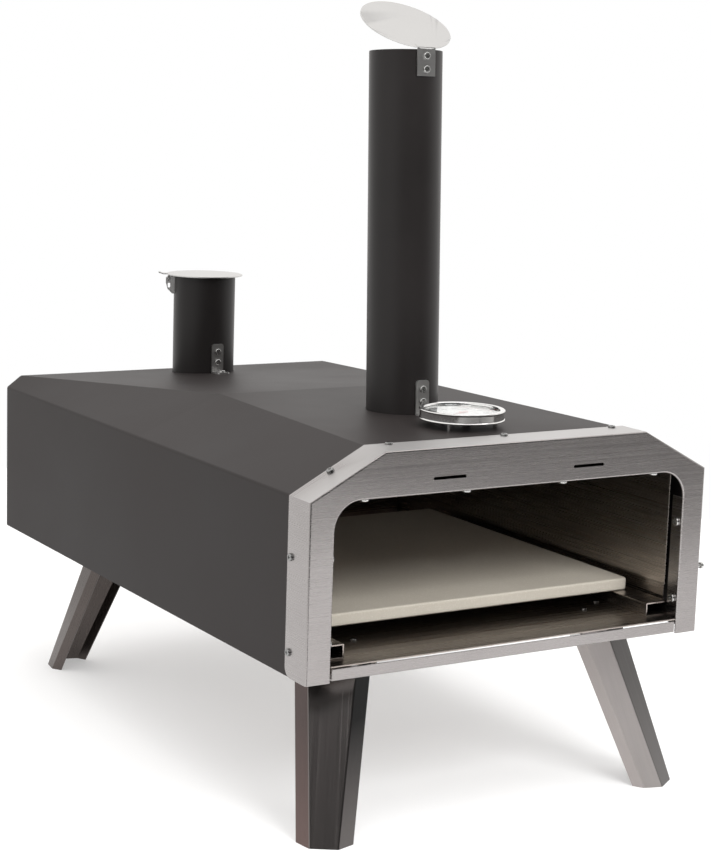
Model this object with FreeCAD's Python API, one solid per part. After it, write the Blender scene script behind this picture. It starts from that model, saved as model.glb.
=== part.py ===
import FreeCAD, Part
import math
import os

# Wood fired pizza oven, millimetres.
# Drawn with the oven's front face at y = 0, its bottom edge at z = 0 and its middle at x = 0.
# +X is the oven's right side, seen from the front. +Y runs to the rear. +Z is up.
# Each part is moved to the shared frame as it is written: see export_node.

Vec = FreeCAD.Vector
UP = Vec(0, 0, 1)
RIGHT = Vec(1, 0, 0)
REAR = Vec(0, 1, 0)

# ---------------------------------------------------------------- main sizes
WIDTH = 400.0            # over the front frame
DEPTH = 648.0            # front face to rear wall
SIDE_HEIGHT = 148.0      # bottom edge to the lower edge of the sloped shoulders
ROOF_HEIGHT = 184.0      # flat part of the roof
REAR_HEIGHT = 160.0      # roof at the rear wall
RIDGE_Y = 320.0          # where the roof starts to fall to the rear
FRONT_FLAT = 132.0       # half width of the flat roof at the front
RIDGE_FLAT = 114.0       # half width of the flat roof at the ridge
REAR_FLAT = 185.0        # half width of the roof at the rear wall
REAR_CORNER_R = 8.0      # rounded upright corners at the rear
GROUND_DROP = 139.0      # bottom edge of the oven to the table
FRAME_MIDDLE_Y = 344.5   # the shared frame's origin, half way from the front feet to the burner grip

SHEET = 1.2              # most sheet metal
PLATE = 1.5              # front frame and legs

# ---------------------------------------------------------------- front frame
FRAME_DEPTH = 34.0       # how far the frame wraps back over the shell
OPENING_HALF = 177.0
OPENING_TOP = 146.5
OPENING_RADIUS = 24.0
RETURN_DEPTH = 14.0      # folded edge around the opening
PILLAR_FOLD_TOP = OPENING_TOP - OPENING_RADIUS
SLOT_LENGTH = 32.0
SLOT_HEIGHT = 2.7
SLOT_CENTRES = (-70.0, 71.0)
SLOT_Z = 159.0
SCREW_Y = 28.5           # row of screws around the wrap
SIDE_SCREW_Z = (21.0, 99.0)
TOP_SCREW_X = (-112.0, 2.0, 116.0)
LINTEL_SCREW_X = (-147.0, -49.0, 49.0, 147.0)
PILLAR_SCREW_Z = (31.0, 100.0)
FOLD_SCREW_Y = 7.0
BAR_BOTTOM = 1.3
BAR_TOP = 10.9
BAR_END_GAP = 1.8

# ---------------------------------------------------------------- inside
FLOOR_Z = 13.5           # top of the floor pan
PAN_HALF = 184.0
PAN_SIDE_TOP = 38.0
PAN_SIDE_FRONT = 28.0
PAN_REAR = 640.0
LINER_HALF = 181.5       # inner face of the side linings
LINER_FRONT = 24.0
LINER_BOTTOM = 38.8
CEILING_Z = 150.0
BAFFLE_Y = 470.0
BAFFLE_TOP = 98.0
RAIL_FRONT = 16.0
RAIL_REAR = 410.0
RAIL_INNER = 155.7
RAIL_OUTER = 180.5
RAIL_TOP = 26.0
STONE_HALF = 172.0
STONE_FRONT = 63.0
STONE_REAR = 391.0
STONE_THICK = 11.0
STONE_CORNER = 5.0

# ---------------------------------------------------------------- pipes
PIPE_R = 32.5
PIPE_WALL = 1.2
FLUE_Y = 185.0
FLUE_LEAN = 2.6          # degrees, to the rear
FLUE_TOP = 501.0
FLUE_BOTTOM = 140.0
HOPPER_Y = 582.0
HOPPER_TOP = 266.6
HOPPER_BOTTOM = 84.0
HOLE_SLACK = 0.4
BRACKET_WIDTH = 13.5
BRACKET_HEIGHT = 31.0
BRACKET_THICK = 1.5
BRACKET_FOOT = 18.0
BRACKET_FOOT_SCREW = 12.0
BRACKET_SCREW_HEIGHTS = (12.0, 23.0)
CAP_R = 41.6
CAP_TILT = 29.7          # degrees, rising to the rear
CAP_LEAF_WIDTH = 18.5
CAP_LEAF_HEIGHT = 24.0
CAP_THICK = 1.0

# ---------------------------------------------------------------- hopper lid
LID_R = 40.0
LID_GAP = 0.4
LID_THICK = 1.2
LID_HINGE_OUT = 37.5     # hinge axis to the hopper's axis
LID_HINGE_Z = 263.0
LID_HINGE_ANGLE = 154.5  # degrees from +X: the hinge is on the left, a little to the rear
LID_TAB_OUT = 49.0
LID_TAB_WIDTH = 9.0
HINGE_PIN_R = 1.4
HINGE_BARREL_R = 2.4
EAR_GAP = 10.2
EAR_THICK = 1.4
EAR_TOP = 265.0
EAR_BOTTOM = 247.0
RUNNING = 0.06           # radial running clearance

# ---------------------------------------------------------------- thermometer
DIAL_Y = 89.0
DIAL_R = 37.2
DIAL_BOTTOM = 189.0
DIAL_TOP = 198.4
DIAL_WINDOW_R = 32.4
STEM_R = 3.0
STEM_BOTTOM = 147.0      # just through the ceiling

# ---------------------------------------------------------------- burner
TRAY_HALF = 58.0
TRAY_FRONT = 515.0
TRAY_Z = 14.2
TRAY_LIP = 12.0
BASKET_HALF = 50.0
BASKET_FRONT = 524.0
BASKET_REAR = 636.0
BASKET_TOP = 72.0
DOOR_HALF = 76.0
DOOR_TOP = 106.0
DOOR_BOTTOM = 3.0
HATCH_HALF = 60.0
HATCH_TOP = 96.0
GRIP_Y = 686.0
GRIP_Z = 56.0
GRIP_HALF = 36.0
GRIP_R = 8.5
HANDLE_R = 3.5
POST_R = 3.0

# ---------------------------------------------------------------- legs
LEG_TURN = 33.0          # degrees from straight ahead (or behind) to the leg's splay direction
LEG_TILT = 22.5          # degrees from upright
LEG_TOP_Z = -2.0
FRONT_FOOT = (178.0, 1.0)
REAR_FOOT = (167.0, 586.0)
WEB_TOP = 41.0           # width of the leg's outer face
WEB_BOTTOM = 24.0
FACET_OUT = 11.5         # width of the angled faces across the leg
FACET_IN_TOP = 19.5      # depth of the angled faces
FACET_IN_BOTTOM = 13.3
FLANGE_IN = 11.0
PIVOT_Z = -6.0
PIVOT_IN = 25.5          # leg's outer face to the hinge axis
PIVOT_R = 3.0
EAR_HALF = 27.0          # leg bracket, over its ears
EAR_WIDTH = 15.0


# ---------------------------------------------------------------- helpers
def box(x0, x1, y0, y1, z0, z1):
    """Box between two corners."""
    return Part.makeBox(x1 - x0, y1 - y0, z1 - z0, Vec(x0, y0, z0))


def rod(radius, start, end):
    """Round bar between two points."""
    along = end.sub(start)
    return Part.makeCylinder(radius, along.Length, start, along)


def tube(outer, inner, start, end):
    """Round pipe between two points."""
    along = end.sub(start).normalize()
    return rod(outer, start, end).cut(rod(inner, start - along, end + along))


def prism(points, along):
    """Solid swept from a flat closed outline."""
    outline = Part.makePolygon(list(points) + [points[0]])
    return Part.Face(outline).extrude(along)


def fuse(shapes):
    """One clean solid from several touching ones."""
    whole = shapes[0]
    for shape in shapes[1:]:
        whole = whole.fuse(shape)
    return whole.removeSplitter()


def spin(points):
    """Solid of revolution about Z from a closed outline of (radius, z) pairs."""
    corners = [Vec(radius, 0, z) for radius, z in points]
    outline = Part.makePolygon(corners + [corners[0]])
    return Part.Face(outline).revolve(Vec(0, 0, 0), UP, 360)


def pan_screw(point, outward, head_r=3.2, head_h=2.0, shank_r=1.6, shank=6.0):
    """Pan head screw: point is where the head meets the sheet, outward is the way the head faces."""
    out = Vec(outward).normalize()
    head = rod(head_r, point, point + out * head_h)
    rim = [edge for edge in head.Edges if (edge.CenterOfMass - (point + out * head_h)).Length < 1e-6]
    head = head.makeFillet(head_h * 0.45, rim)
    recess_start = point + out * (head_h * 0.45)
    side = out.cross(UP if abs(out.z) < 0.9 else RIGHT).normalize()
    other = out.cross(side).normalize()
    for way, across in ((side, other), (other, side)):
        half = way * (head_r * 0.5)
        thin = across * (head_r * 0.12)
        corners = [
            recess_start + half + thin,
            recess_start - half + thin,
            recess_start - half - thin,
            recess_start + half - thin,
        ]
        head = head.cut(prism(corners, out * head_h))
    return head.fuse(rod(shank_r, point - out * shank, point)).removeSplitter()


def hole_for_screw(shape, point, outward, radius=1.6, reach=8.0):
    """Round hole that a screw's shank fills."""
    out = Vec(outward).normalize()
    return shape.cut(rod(radius, point - out * reach, point + out * reach))


def move_solid(shape, offset):
    """Copy of a shape, moved."""
    copy = shape.copy()
    copy.translate(offset)
    return copy


def export_node(name, shape):
    """Write one part in the shared frame: origin on the table, under the middle of the oven."""
    placed = shape.copy()
    placed.translate(Vec(0, -FRAME_MIDDLE_Y, GROUND_DROP))
    placed.exportStep("parts/" + name + ".step")


def export_group(name, solids):
    """Write several separate solids as one node."""
    export_node(name, Part.makeCompound(solids))


# ---------------------------------------------------------------- outer shell
def body_section(y, inset, drop=0.0):
    """Closed outline of the oven across its width at one station, drawn in by inset."""
    if y <= RIDGE_Y:
        part = y / RIDGE_Y
        flat = FRONT_FLAT + (RIDGE_FLAT - FRONT_FLAT) * part
        top = ROOF_HEIGHT
    else:
        part = (y - RIDGE_Y) / (DEPTH - RIDGE_Y)
        flat = RIDGE_FLAT + (REAR_FLAT - RIDGE_FLAT) * part
        top = ROOF_HEIGHT + (REAR_HEIGHT - ROOF_HEIGHT) * part
    half = WIDTH / 2 - inset
    rise = math.atan2(top - SIDE_HEIGHT, WIDTH / 2 - flat)
    shoulder = SIDE_HEIGHT - inset * math.tan(rise / 2)
    flat = flat - inset * math.tan(rise / 2)
    top = top - inset
    return [
        Vec(-half, y, -drop),
        Vec(-half, y, shoulder),
        Vec(-flat, y, top),
        Vec(flat, y, top),
        Vec(half, y, shoulder),
        Vec(half, y, -drop),
    ]


def flat_faces(corners):
    """One face through four corners, or two triangles where the four aren't in one plane."""
    a, b, c, d = corners
    normal = (b - a).cross(d - a).normalize()
    if abs((c - a).dot(normal)) < 1e-4:
        return [Part.Face(Part.makePolygon([a, b, c, d, a]))]
    return [Part.Face(Part.makePolygon([a, b, d, a])), Part.Face(Part.makePolygon([b, c, d, b]))]


def body_block(stations, inset, drop=0.0):
    """Solid through the oven's outline at each station, with every face flat."""
    sections = [body_section(y, inset, drop) for y in stations]
    faces = []
    for near, far in zip(sections, sections[1:]):
        for index in range(6):
            after = (index + 1) % 6
            if index == 1:
                faces += flat_faces([near[after], far[after], far[index], near[index]])
            else:
                faces += flat_faces([near[index], near[after], far[after], far[index]])
    for end in (sections[0], sections[-1]):
        faces.append(Part.Face(Part.makePolygon(end + [end[0]])))
    block = Part.makeSolid(Part.makeShell(faces))
    if block.Volume < 0:
        block.reverse()
    return block


def make_outer_shell():
    shell = body_block((PLATE, RIDGE_Y, DEPTH), SHEET)
    shell = shell.makeFillet(REAR_CORNER_R, rear_corner_edges(shell))
    inside = body_block((PLATE - 5, RIDGE_Y, DEPTH - SHEET), 2 * SHEET, 5.0)
    inside = inside.makeFillet(REAR_CORNER_R - SHEET, rear_corner_edges(inside))
    shell = shell.cut(inside)
    shell = shell.cut(flue_rod(PIPE_R + HOLE_SLACK, 60.0, 60.0))
    hopper_foot = Vec(0, HOPPER_Y, 120)
    shell = shell.cut(rod(PIPE_R + HOLE_SLACK, hopper_foot, hopper_foot + UP * 80))
    shell = shell.cut(rod(STEM_R + HOLE_SLACK, Vec(0, DIAL_Y, 170), Vec(0, DIAL_Y, 200)))
    shell = shell.cut(box(-HATCH_HALF, HATCH_HALF, DEPTH - 5, DEPTH + 5, FLOOR_Z, HATCH_TOP))
    for point, out in wrap_screw_places() + foot_screw_places():
        shell = hole_for_screw(shell, point, out, reach=6.0)
    return shell


def rear_corner_edges(block):
    """The two upright edges at the rear of the body."""
    edges = []
    for edge in block.Edges:
        ends = [vertex.Point for vertex in edge.Vertexes]
        upright = abs(ends[0].z - ends[1].z) > 100 and abs(ends[0].x - ends[1].x) < 1e-6
        if upright and min(end.y for end in ends) > DEPTH - 5:
            edges.append(edge)
    return edges


# ---------------------------------------------------------------- front frame
def opening_block(half, top, radius, y0, y1):
    """Solid that fills the oven's mouth: square below, round corners above."""
    block = box(-half, half, y0, y1, -20, top)
    corners = []
    for edge in block.Edges:
        middle = edge.CenterOfMass
        along_y = abs(edge.Length - (y1 - y0)) < 1e-6 and abs(middle.y - (y0 + y1) / 2) < 1e-6
        if along_y and middle.z > top - 1:
            corners.append(edge)
    return block.makeFillet(radius, corners)


def wrap_screw_places():
    """Point and outward way of each screw around the frame's wrap."""
    places = []
    for side in (-1, 1):
        for z in SIDE_SCREW_Z:
            places.append((Vec(side * WIDTH / 2, SCREW_Y, z), Vec(side, 0, 0)))
        run = WIDTH / 2 - FRONT_FLAT
        rise = ROOF_HEIGHT - SIDE_HEIGHT
        middle = Vec(side * (FRONT_FLAT + run * 0.5), SCREW_Y, SIDE_HEIGHT + rise * 0.5)
        places.append((middle, Vec(side * rise, 0, run)))
    for x in TOP_SCREW_X:
        places.append((Vec(x, SCREW_Y, ROOF_HEIGHT), UP))
    return places


def fold_screw_places():
    """Point and outward way of each screw in the folded edge of the mouth."""
    places = []
    for x in LINTEL_SCREW_X:
        places.append((Vec(x, FOLD_SCREW_Y, OPENING_TOP), UP * -1))
    for side in (-1, 1):
        for z in PILLAR_SCREW_Z:
            places.append((Vec(side * OPENING_HALF, FOLD_SCREW_Y, z), Vec(-side, 0, 0)))
    return places


def frame_outline(y, inset, drop):
    points = body_section(0, inset, drop)
    return [Vec(point.x, y, point.z) for point in points]


def make_front_frame():
    face = prism(frame_outline(0, 0, 0), REAR * PLATE)
    face = face.cut(opening_block(OPENING_HALF, OPENING_TOP, OPENING_RADIUS, -1, PLATE + 1))
    wrap = prism(frame_outline(0, 0, 0), REAR * FRAME_DEPTH)
    wrap = wrap.cut(prism(frame_outline(-1, SHEET, 10), REAR * (FRAME_DEPTH + 2)))
    frame = face.fuse(wrap)
    lintel_half = OPENING_HALF - OPENING_RADIUS
    folds = [box(-lintel_half, lintel_half, 0, RETURN_DEPTH, OPENING_TOP, OPENING_TOP + SHEET)]
    for side in (-1, 1):
        x0 = side * OPENING_HALF
        x1 = side * (OPENING_HALF + SHEET)
        folds.append(box(min(x0, x1), max(x0, x1), 0, RETURN_DEPTH, FLOOR_Z + 1, PILLAR_FOLD_TOP))
    for fold in folds:
        frame = frame.fuse(fold)
    for x in SLOT_CENTRES:
        reach = SLOT_LENGTH / 2 - SLOT_HEIGHT / 2
        slot = box(x - reach, x + reach, -1, PLATE + 1, SLOT_Z - SLOT_HEIGHT / 2, SLOT_Z + SLOT_HEIGHT / 2)
        for end in (-reach, reach):
            slot = slot.fuse(rod(SLOT_HEIGHT / 2, Vec(x + end, -1, SLOT_Z), Vec(x + end, PLATE + 1, SLOT_Z)))
        frame = frame.cut(slot)
    for side in (-1, 1):
        x0 = min(side * 190.0, side * 205.0)
        corner = box(x0, x0 + 15, FRAME_DEPTH - 9, FRAME_DEPTH + 1, -1, 9)
        corner = corner.cut(rod(9.0, Vec(x0 - 1, FRAME_DEPTH - 9, 9), Vec(x0 + 16, FRAME_DEPTH - 9, 9)))
        frame = frame.cut(corner)
    for point, out in wrap_screw_places() + fold_screw_places():
        frame = hole_for_screw(frame, point, out, reach=4.0)
    return frame.removeSplitter()


def make_front_bar():
    half = OPENING_HALF - BAR_END_GAP
    front = box(-half, half, 0, PLATE, BAR_BOTTOM, BAR_TOP)
    under = box(-half, half, 0, 16, BAR_BOTTOM, BAR_BOTTOM + SHEET)
    return fuse([front, under])


# ---------------------------------------------------------------- floor, linings and stone
def make_floor_pan():
    floor = box(-PAN_HALF, PAN_HALF, 0.3, PAN_REAR, FLOOR_Z - SHEET, FLOOR_Z)
    front_corner = box(-PAN_HALF - 1, -OPENING_HALF + 0.6, -1, PLATE + 0.3, 0, 40)
    floor = floor.cut(front_corner).cut(front_corner.mirror(Vec(0, 0, 0), RIGHT))
    pieces = [floor]
    for side in (-1, 1):
        x0 = side * PAN_HALF
        x1 = side * (PAN_HALF + SHEET)
        pieces.append(box(min(x0, x1), max(x0, x1), PAN_SIDE_FRONT, PAN_REAR, FLOOR_Z - SHEET, PAN_SIDE_TOP))
    pan = fuse(pieces)
    for point in rail_screw_points() + leg_screw_points():
        pan = hole_for_screw(pan, Vec(point.x, point.y, FLOOR_Z), UP)
    for x, y in guide_screw_points():
        pan = hole_for_screw(pan, Vec(x, y, FLOOR_Z), UP)
    return pan


def make_side_lining(side):
    x0 = side * LINER_HALF
    x1 = side * (LINER_HALF + SHEET)
    return box(min(x0, x1), max(x0, x1), LINER_FRONT, PAN_REAR, LINER_BOTTOM, CEILING_Z)


def make_ceiling_lining():
    half = LINER_HALF + SHEET
    sheet = box(-half, half, LINER_FRONT, PAN_REAR, CEILING_Z, CEILING_Z + SHEET)
    sheet = sheet.cut(flue_rod(PIPE_R + HOLE_SLACK, 130.0, 160.0))
    foot = Vec(0, HOPPER_Y, CEILING_Z - 5)
    sheet = sheet.cut(rod(PIPE_R + HOLE_SLACK, foot, foot + UP * 10))
    stem_foot = Vec(0, DIAL_Y, CEILING_Z - 5)
    return sheet.cut(rod(STEM_R + HOLE_SLACK, stem_foot, stem_foot + UP * 10))


def make_flame_baffle():
    """Low wall between the fire and the stone, with a lip that turns the flame upward."""
    half = LINER_HALF
    wall = box(-half, half, BAFFLE_Y, BAFFLE_Y + SHEET, FLOOR_Z, BAFFLE_TOP)
    lip = [
        Vec(-half, BAFFLE_Y, BAFFLE_TOP),
        Vec(-half, BAFFLE_Y + SHEET, BAFFLE_TOP),
        Vec(-half, BAFFLE_Y - 14 + SHEET, BAFFLE_TOP + 14),
        Vec(-half, BAFFLE_Y - 14, BAFFLE_TOP + 14),
    ]
    foot = box(-half, half, BAFFLE_Y - 16, BAFFLE_Y, FLOOR_Z, FLOOR_Z + SHEET)
    return fuse([wall, prism(lip, RIGHT * (2 * half)), foot])


def make_stone_rail(side):
    """Open-ended box rail that carries one edge of the stone."""
    x0 = min(side * RAIL_INNER, side * RAIL_OUTER)
    x1 = max(side * RAIL_INNER, side * RAIL_OUTER)
    outer = box(x0, x1, RAIL_FRONT, RAIL_REAR, FLOOR_Z, RAIL_TOP)
    hollow = box(x0 + SHEET, x1 - SHEET, RAIL_FRONT - 1, RAIL_REAR + 1, FLOOR_Z + SHEET, RAIL_TOP - SHEET)
    rail = outer.cut(hollow)
    for point in rail_screw_points():
        if point.x * side > 0:
            rail = hole_for_screw(rail, Vec(point.x, point.y, FLOOR_Z + SHEET), UP, reach=3.0)
    return rail


def rail_screw_points():
    x = (RAIL_INNER + RAIL_OUTER) / 2
    return [Vec(side * x, y, FLOOR_Z + SHEET) for side in (-1, 1) for y in (60.0, 370.0)]


def make_stone():
    stone = box(-STONE_HALF, STONE_HALF, STONE_FRONT, STONE_REAR, RAIL_TOP, RAIL_TOP + STONE_THICK)
    upright = [edge for edge in stone.Edges if abs(edge.Length - STONE_THICK) < 1e-6]
    stone = stone.makeFillet(STONE_CORNER, upright)
    rims = []
    for edge in stone.Edges:
        if abs(edge.BoundBox.ZMax - edge.BoundBox.ZMin) < 1e-6:
            rims.append(edge)
    return stone.makeChamfer(1.2, rims)


# ---------------------------------------------------------------- flue
def flue_point(height, out=0.0, side=0.0):
    """Point beside the leaning flue: height above the roof, out toward the front, side toward +X."""
    lean = math.radians(FLUE_LEAN)
    axis = Vec(0, math.sin(lean), math.cos(lean))
    front = Vec(0, -math.cos(lean), math.sin(lean))
    return Vec(side, FLUE_Y, ROOF_HEIGHT) + axis * height + front * out


def flue_rod(radius, below, above):
    """Round bar on the flue's axis, from below the roof to above it."""
    return rod(radius, flue_point(-below), flue_point(above))


def make_flue_pipe():
    top = FLUE_TOP - ROOF_HEIGHT
    outer = flue_rod(PIPE_R, ROOF_HEIGHT - FLUE_BOTTOM, top)
    inner = flue_rod(PIPE_R - PIPE_WALL, ROOF_HEIGHT - FLUE_BOTTOM + 1, top + 1)
    pipe = outer.cut(inner)
    for point, out in flue_screw_places() + cap_screw_places():
        pipe = hole_for_screw(pipe, point, out)
    return pipe


def make_flue_ring():
    """Flanged sleeve under the roof that closes the gap around the flue."""
    under_roof = ROOF_HEIGHT - 2 * SHEET
    middle = flue_point(-2 * SHEET)
    low = Vec(0, middle.y, under_roof - SHEET)
    flange = rod(PIPE_R + 11, low, low + UP * SHEET)
    sleeve = rod(PIPE_R + 1.6, flue_point(-14), flue_point(-5.4))
    ring = fuse([sleeve, flange]).cut(flue_rod(PIPE_R, 40, 10))
    for base in (bracket_base("flue", -1), bracket_base("flue", 1)):
        ring = hole_for_screw(ring, *foot_screw_place(base))
    return ring


def roof_slope(y):
    """Angle of the roof at a station: positive where it falls to the rear."""
    if y <= RIDGE_Y:
        return 0.0
    return math.atan2(ROOF_HEIGHT - REAR_HEIGHT, DEPTH - RIDGE_Y)


def roof_surface(y):
    """Height of the shell's upper surface on the middle line."""
    fall = max(0.0, y - RIDGE_Y) * math.tan(roof_slope(RIDGE_Y + 1))
    return ROOF_HEIGHT - SHEET - fall


def bracket_base(pipe, sign):
    """Where one L bracket starts, and its directions; sign -1 is in front of the pipe, 1 behind it."""
    if pipe == "flue":
        lean = math.radians(FLUE_LEAN)
        start = flue_point(0, -sign * PIPE_R)
    else:
        lean = 0.0
        y = HOPPER_Y + sign * PIPE_R
        start = Vec(0, y, roof_surface(y))
    slope = roof_slope(start.y)
    axis = Vec(0, math.sin(lean), math.cos(lean))
    bottom = start + axis * ((roof_surface(start.y) - start.z) / axis.z)
    return {
        "bottom": bottom,
        "axis": axis,
        "outward": Vec(0, sign * math.cos(lean), -sign * math.sin(lean)),
        "away": Vec(0, sign * math.cos(slope), -sign * math.sin(slope)),
        "normal": Vec(0, math.sin(slope), math.cos(slope)),
    }


def leaf_screw_places(base):
    places = []
    for height in BRACKET_SCREW_HEIGHTS:
        point = base["bottom"] + base["axis"] * height + base["outward"] * BRACKET_THICK
        places.append((point, base["outward"]))
    return places


def foot_screw_place(base):
    point = base["bottom"] + base["away"] * BRACKET_FOOT_SCREW + base["normal"] * BRACKET_THICK
    return point, base["normal"]


def make_bracket(base):
    """L bracket: one leaf along the pipe, one foot on the roof."""
    half = BRACKET_WIDTH / 2
    bottom = base["bottom"]
    top = bottom + base["axis"] * BRACKET_HEIGHT
    corner = bottom + base["away"] * (BRACKET_THICK / base["away"].dot(base["outward"]))
    toe = bottom + base["away"] * BRACKET_FOOT
    lift = base["normal"] * BRACKET_THICK
    leaf = [bottom, top, top + base["outward"] * BRACKET_THICK, corner]
    foot = [bottom, toe, toe + lift, bottom + lift]
    solids = []
    for outline in (leaf, foot):
        shifted = [point - RIGHT * half for point in outline]
        solids.append(prism(shifted, RIGHT * BRACKET_WIDTH))
    bracket = fuse(solids)
    ends = (top + base["outward"] * (BRACKET_THICK / 2), toe + lift * 0.5)
    rounded = []
    for edge in bracket.Edges:
        middle = edge.CenterOfMass
        for end in ends:
            if (middle - Vec(middle.x, end.y, end.z)).Length < 1e-3 and abs(abs(middle.x) - half) < 1e-6:
                rounded.append(edge)
    bracket = bracket.makeFillet(3.0, rounded)
    for point, out in leaf_screw_places(base) + [foot_screw_place(base)]:
        bracket = hole_for_screw(bracket, point, out, reach=3.0)
    return bracket


def flue_screw_places():
    return leaf_screw_places(bracket_base("flue", -1)) + leaf_screw_places(bracket_base("flue", 1))


def hopper_screw_places():
    return leaf_screw_places(bracket_base("hopper", -1)) + leaf_screw_places(bracket_base("hopper", 1))


def foot_screw_places():
    """Screws that hold the brackets' feet to the roof."""
    return [foot_screw_place(bracket_base(pipe, sign)) for pipe in ("flue", "hopper") for sign in (-1, 1)]


def make_brackets(pipe):
    return [make_bracket(bracket_base(pipe, sign)) for sign in (-1, 1)]


def cap_leaf_top():
    """Where the cap's leaf bends, on the front of the flue."""
    return flue_point(FLUE_TOP - ROOF_HEIGHT + 1.0, PIPE_R)


def cap_screw_places():
    lean = math.radians(FLUE_LEAN)
    axis = Vec(0, math.sin(lean), math.cos(lean))
    front = Vec(0, -math.cos(lean), math.sin(lean))
    places = []
    for drop in (6.5, 18.0):
        places.append((cap_leaf_top() - axis * drop + front * CAP_THICK, front))
    return places


def make_flue_cap():
    """Tilted disc over the flue with a leaf bent down over the flue's front."""
    tilt = math.radians(CAP_TILT)
    along = Vec(0, math.cos(tilt), math.sin(tilt))
    normal = Vec(0, -math.sin(tilt), math.cos(tilt))
    bend = cap_leaf_top()
    centre = bend + along * (CAP_R - 1.5)
    disc = rod(CAP_R, centre, centre + normal * CAP_THICK)
    lean = math.radians(FLUE_LEAN)
    axis = Vec(0, math.sin(lean), math.cos(lean))
    front = Vec(0, -math.cos(lean), math.sin(lean))
    half = CAP_LEAF_WIDTH / 2
    bottom = bend - axis * CAP_LEAF_HEIGHT
    leaf = [bend + axis * 0.2, bottom, bottom + front * CAP_THICK, bend + front * CAP_THICK + axis * 0.2]
    bridge_end = bend + along * 7
    bridge = [bend, bridge_end, bridge_end + normal * CAP_THICK, bend + front * CAP_THICK + axis * 0.9]
    solids = [disc]
    for outline in (leaf, bridge):
        shifted = [point - RIGHT * half for point in outline]
        solids.append(prism(shifted, RIGHT * CAP_LEAF_WIDTH))
    cap = fuse(solids)
    for point, out in cap_screw_places():
        cap = hole_for_screw(cap, point, out, reach=3.0)
    return cap


# ---------------------------------------------------------------- hopper
def make_hopper_pipe():
    start = Vec(0, HOPPER_Y, HOPPER_BOTTOM)
    pipe = tube(PIPE_R, PIPE_R - PIPE_WALL, start, Vec(0, HOPPER_Y, HOPPER_TOP))
    for point, out in hopper_screw_places():
        pipe = hole_for_screw(pipe, point, out)
    return pipe


def hinge_frame(shape):
    """Turn and move a shape drawn with the hinge on +X so that it meets the hopper."""
    placed = shape.copy()
    placed.rotate(Vec(0, 0, 0), UP, LID_HINGE_ANGLE)
    placed.translate(Vec(0, HOPPER_Y, 0))
    return placed


def make_hinge_ears():
    """Two ears with a curved back plate on the hopper; drawn on +X, then placed."""
    pieces = []
    outer_y = EAR_GAP / 2 + EAR_THICK
    for side in (-1, 1):
        y0 = min(side * EAR_GAP / 2, side * outer_y)
        outline = [
            Vec(PIPE_R - 0.4, y0, EAR_TOP),
            Vec(LID_HINGE_OUT + 1.5, y0, EAR_TOP),
            Vec(LID_HINGE_OUT + 3.6, y0, LID_HINGE_Z - 0.5),
            Vec(LID_HINGE_OUT + 3.6, y0, LID_HINGE_Z - 4.5),
            Vec(LID_HINGE_OUT + 1.8, y0, EAR_BOTTOM + 5.0),
            Vec(PIPE_R + 2.0, y0, EAR_BOTTOM),
            Vec(PIPE_R - 0.4, y0, EAR_BOTTOM),
        ]
        ear = prism(outline, REAR * EAR_THICK)
        middle = Vec(LID_HINGE_OUT + 0.2, y0 - 1, LID_HINGE_Z - 6.0)
        for drop in (0.0, 3.6):
            start = middle - UP * drop
            ear = ear.cut(rod(1.3, start, start + REAR * 4))
        slot_low = middle.z - 3.6
        ear = ear.cut(box(middle.x - 1.3, middle.x + 1.3, y0 - 1, y0 + 3, slot_low, middle.z))
        pieces.append(ear)
    plate = tube(PIPE_R + 1.0, PIPE_R, Vec(0, 0, EAR_BOTTOM), Vec(0, 0, EAR_TOP))
    plate = plate.common(box(0, PIPE_R + 5, -outer_y, outer_y, 0, 400))
    bracket_solid = fuse([plate] + pieces).cut(rod(PIPE_R, Vec(0, 0, 200), Vec(0, 0, 300)))
    pin_hole = rod(HINGE_PIN_R, Vec(LID_HINGE_OUT, -20, LID_HINGE_Z), Vec(LID_HINGE_OUT, 20, LID_HINGE_Z))
    return hinge_frame(bracket_solid.cut(pin_hole))


def make_hinge_pin():
    reach = EAR_GAP / 2 + EAR_THICK
    pin = rod(HINGE_PIN_R, Vec(LID_HINGE_OUT, -reach, LID_HINGE_Z), Vec(LID_HINGE_OUT, reach, LID_HINGE_Z))
    pieces = [pin]
    for side in (-1, 1):
        start = Vec(LID_HINGE_OUT, side * reach, LID_HINGE_Z)
        pieces.append(rod(2.1, start, start + REAR * (side * 0.9)))
    return hinge_frame(fuse(pieces))


def make_hopper_lid():
    low = HOPPER_TOP + LID_GAP
    disc = Part.makeCylinder(LID_R, LID_THICK, Vec(0, 0, low))
    half = LID_TAB_WIDTH / 2
    tab = [
        Vec(30, -half, low),
        Vec(LID_TAB_OUT - 5, -half, low),
        Vec(LID_TAB_OUT, -half, low + 1.6),
        Vec(LID_TAB_OUT, -half, low + 1.6 + LID_THICK),
        Vec(LID_TAB_OUT - 5, -half, low + LID_THICK),
        Vec(30, -half, low + LID_THICK),
    ]
    tab_solid = prism(tab, REAR * LID_TAB_WIDTH)
    barrel_start = Vec(LID_HINGE_OUT, -half, LID_HINGE_Z)
    barrel = rod(HINGE_BARREL_R, barrel_start, barrel_start + REAR * LID_TAB_WIDTH)
    neck = box(LID_HINGE_OUT - 1.0, LID_HINGE_OUT + 1.4, -half, half, LID_HINGE_Z, low + 0.2)
    lid = fuse([disc, tab_solid, barrel, neck])
    bore = rod(HINGE_PIN_R + RUNNING, barrel_start - REAR * 5, barrel_start + REAR * (LID_TAB_WIDTH + 5))
    return hinge_frame(lid.cut(bore))


# ---------------------------------------------------------------- thermometer
def at_dial(shape):
    return move_solid(shape, Vec(0, DIAL_Y, 0))


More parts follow.
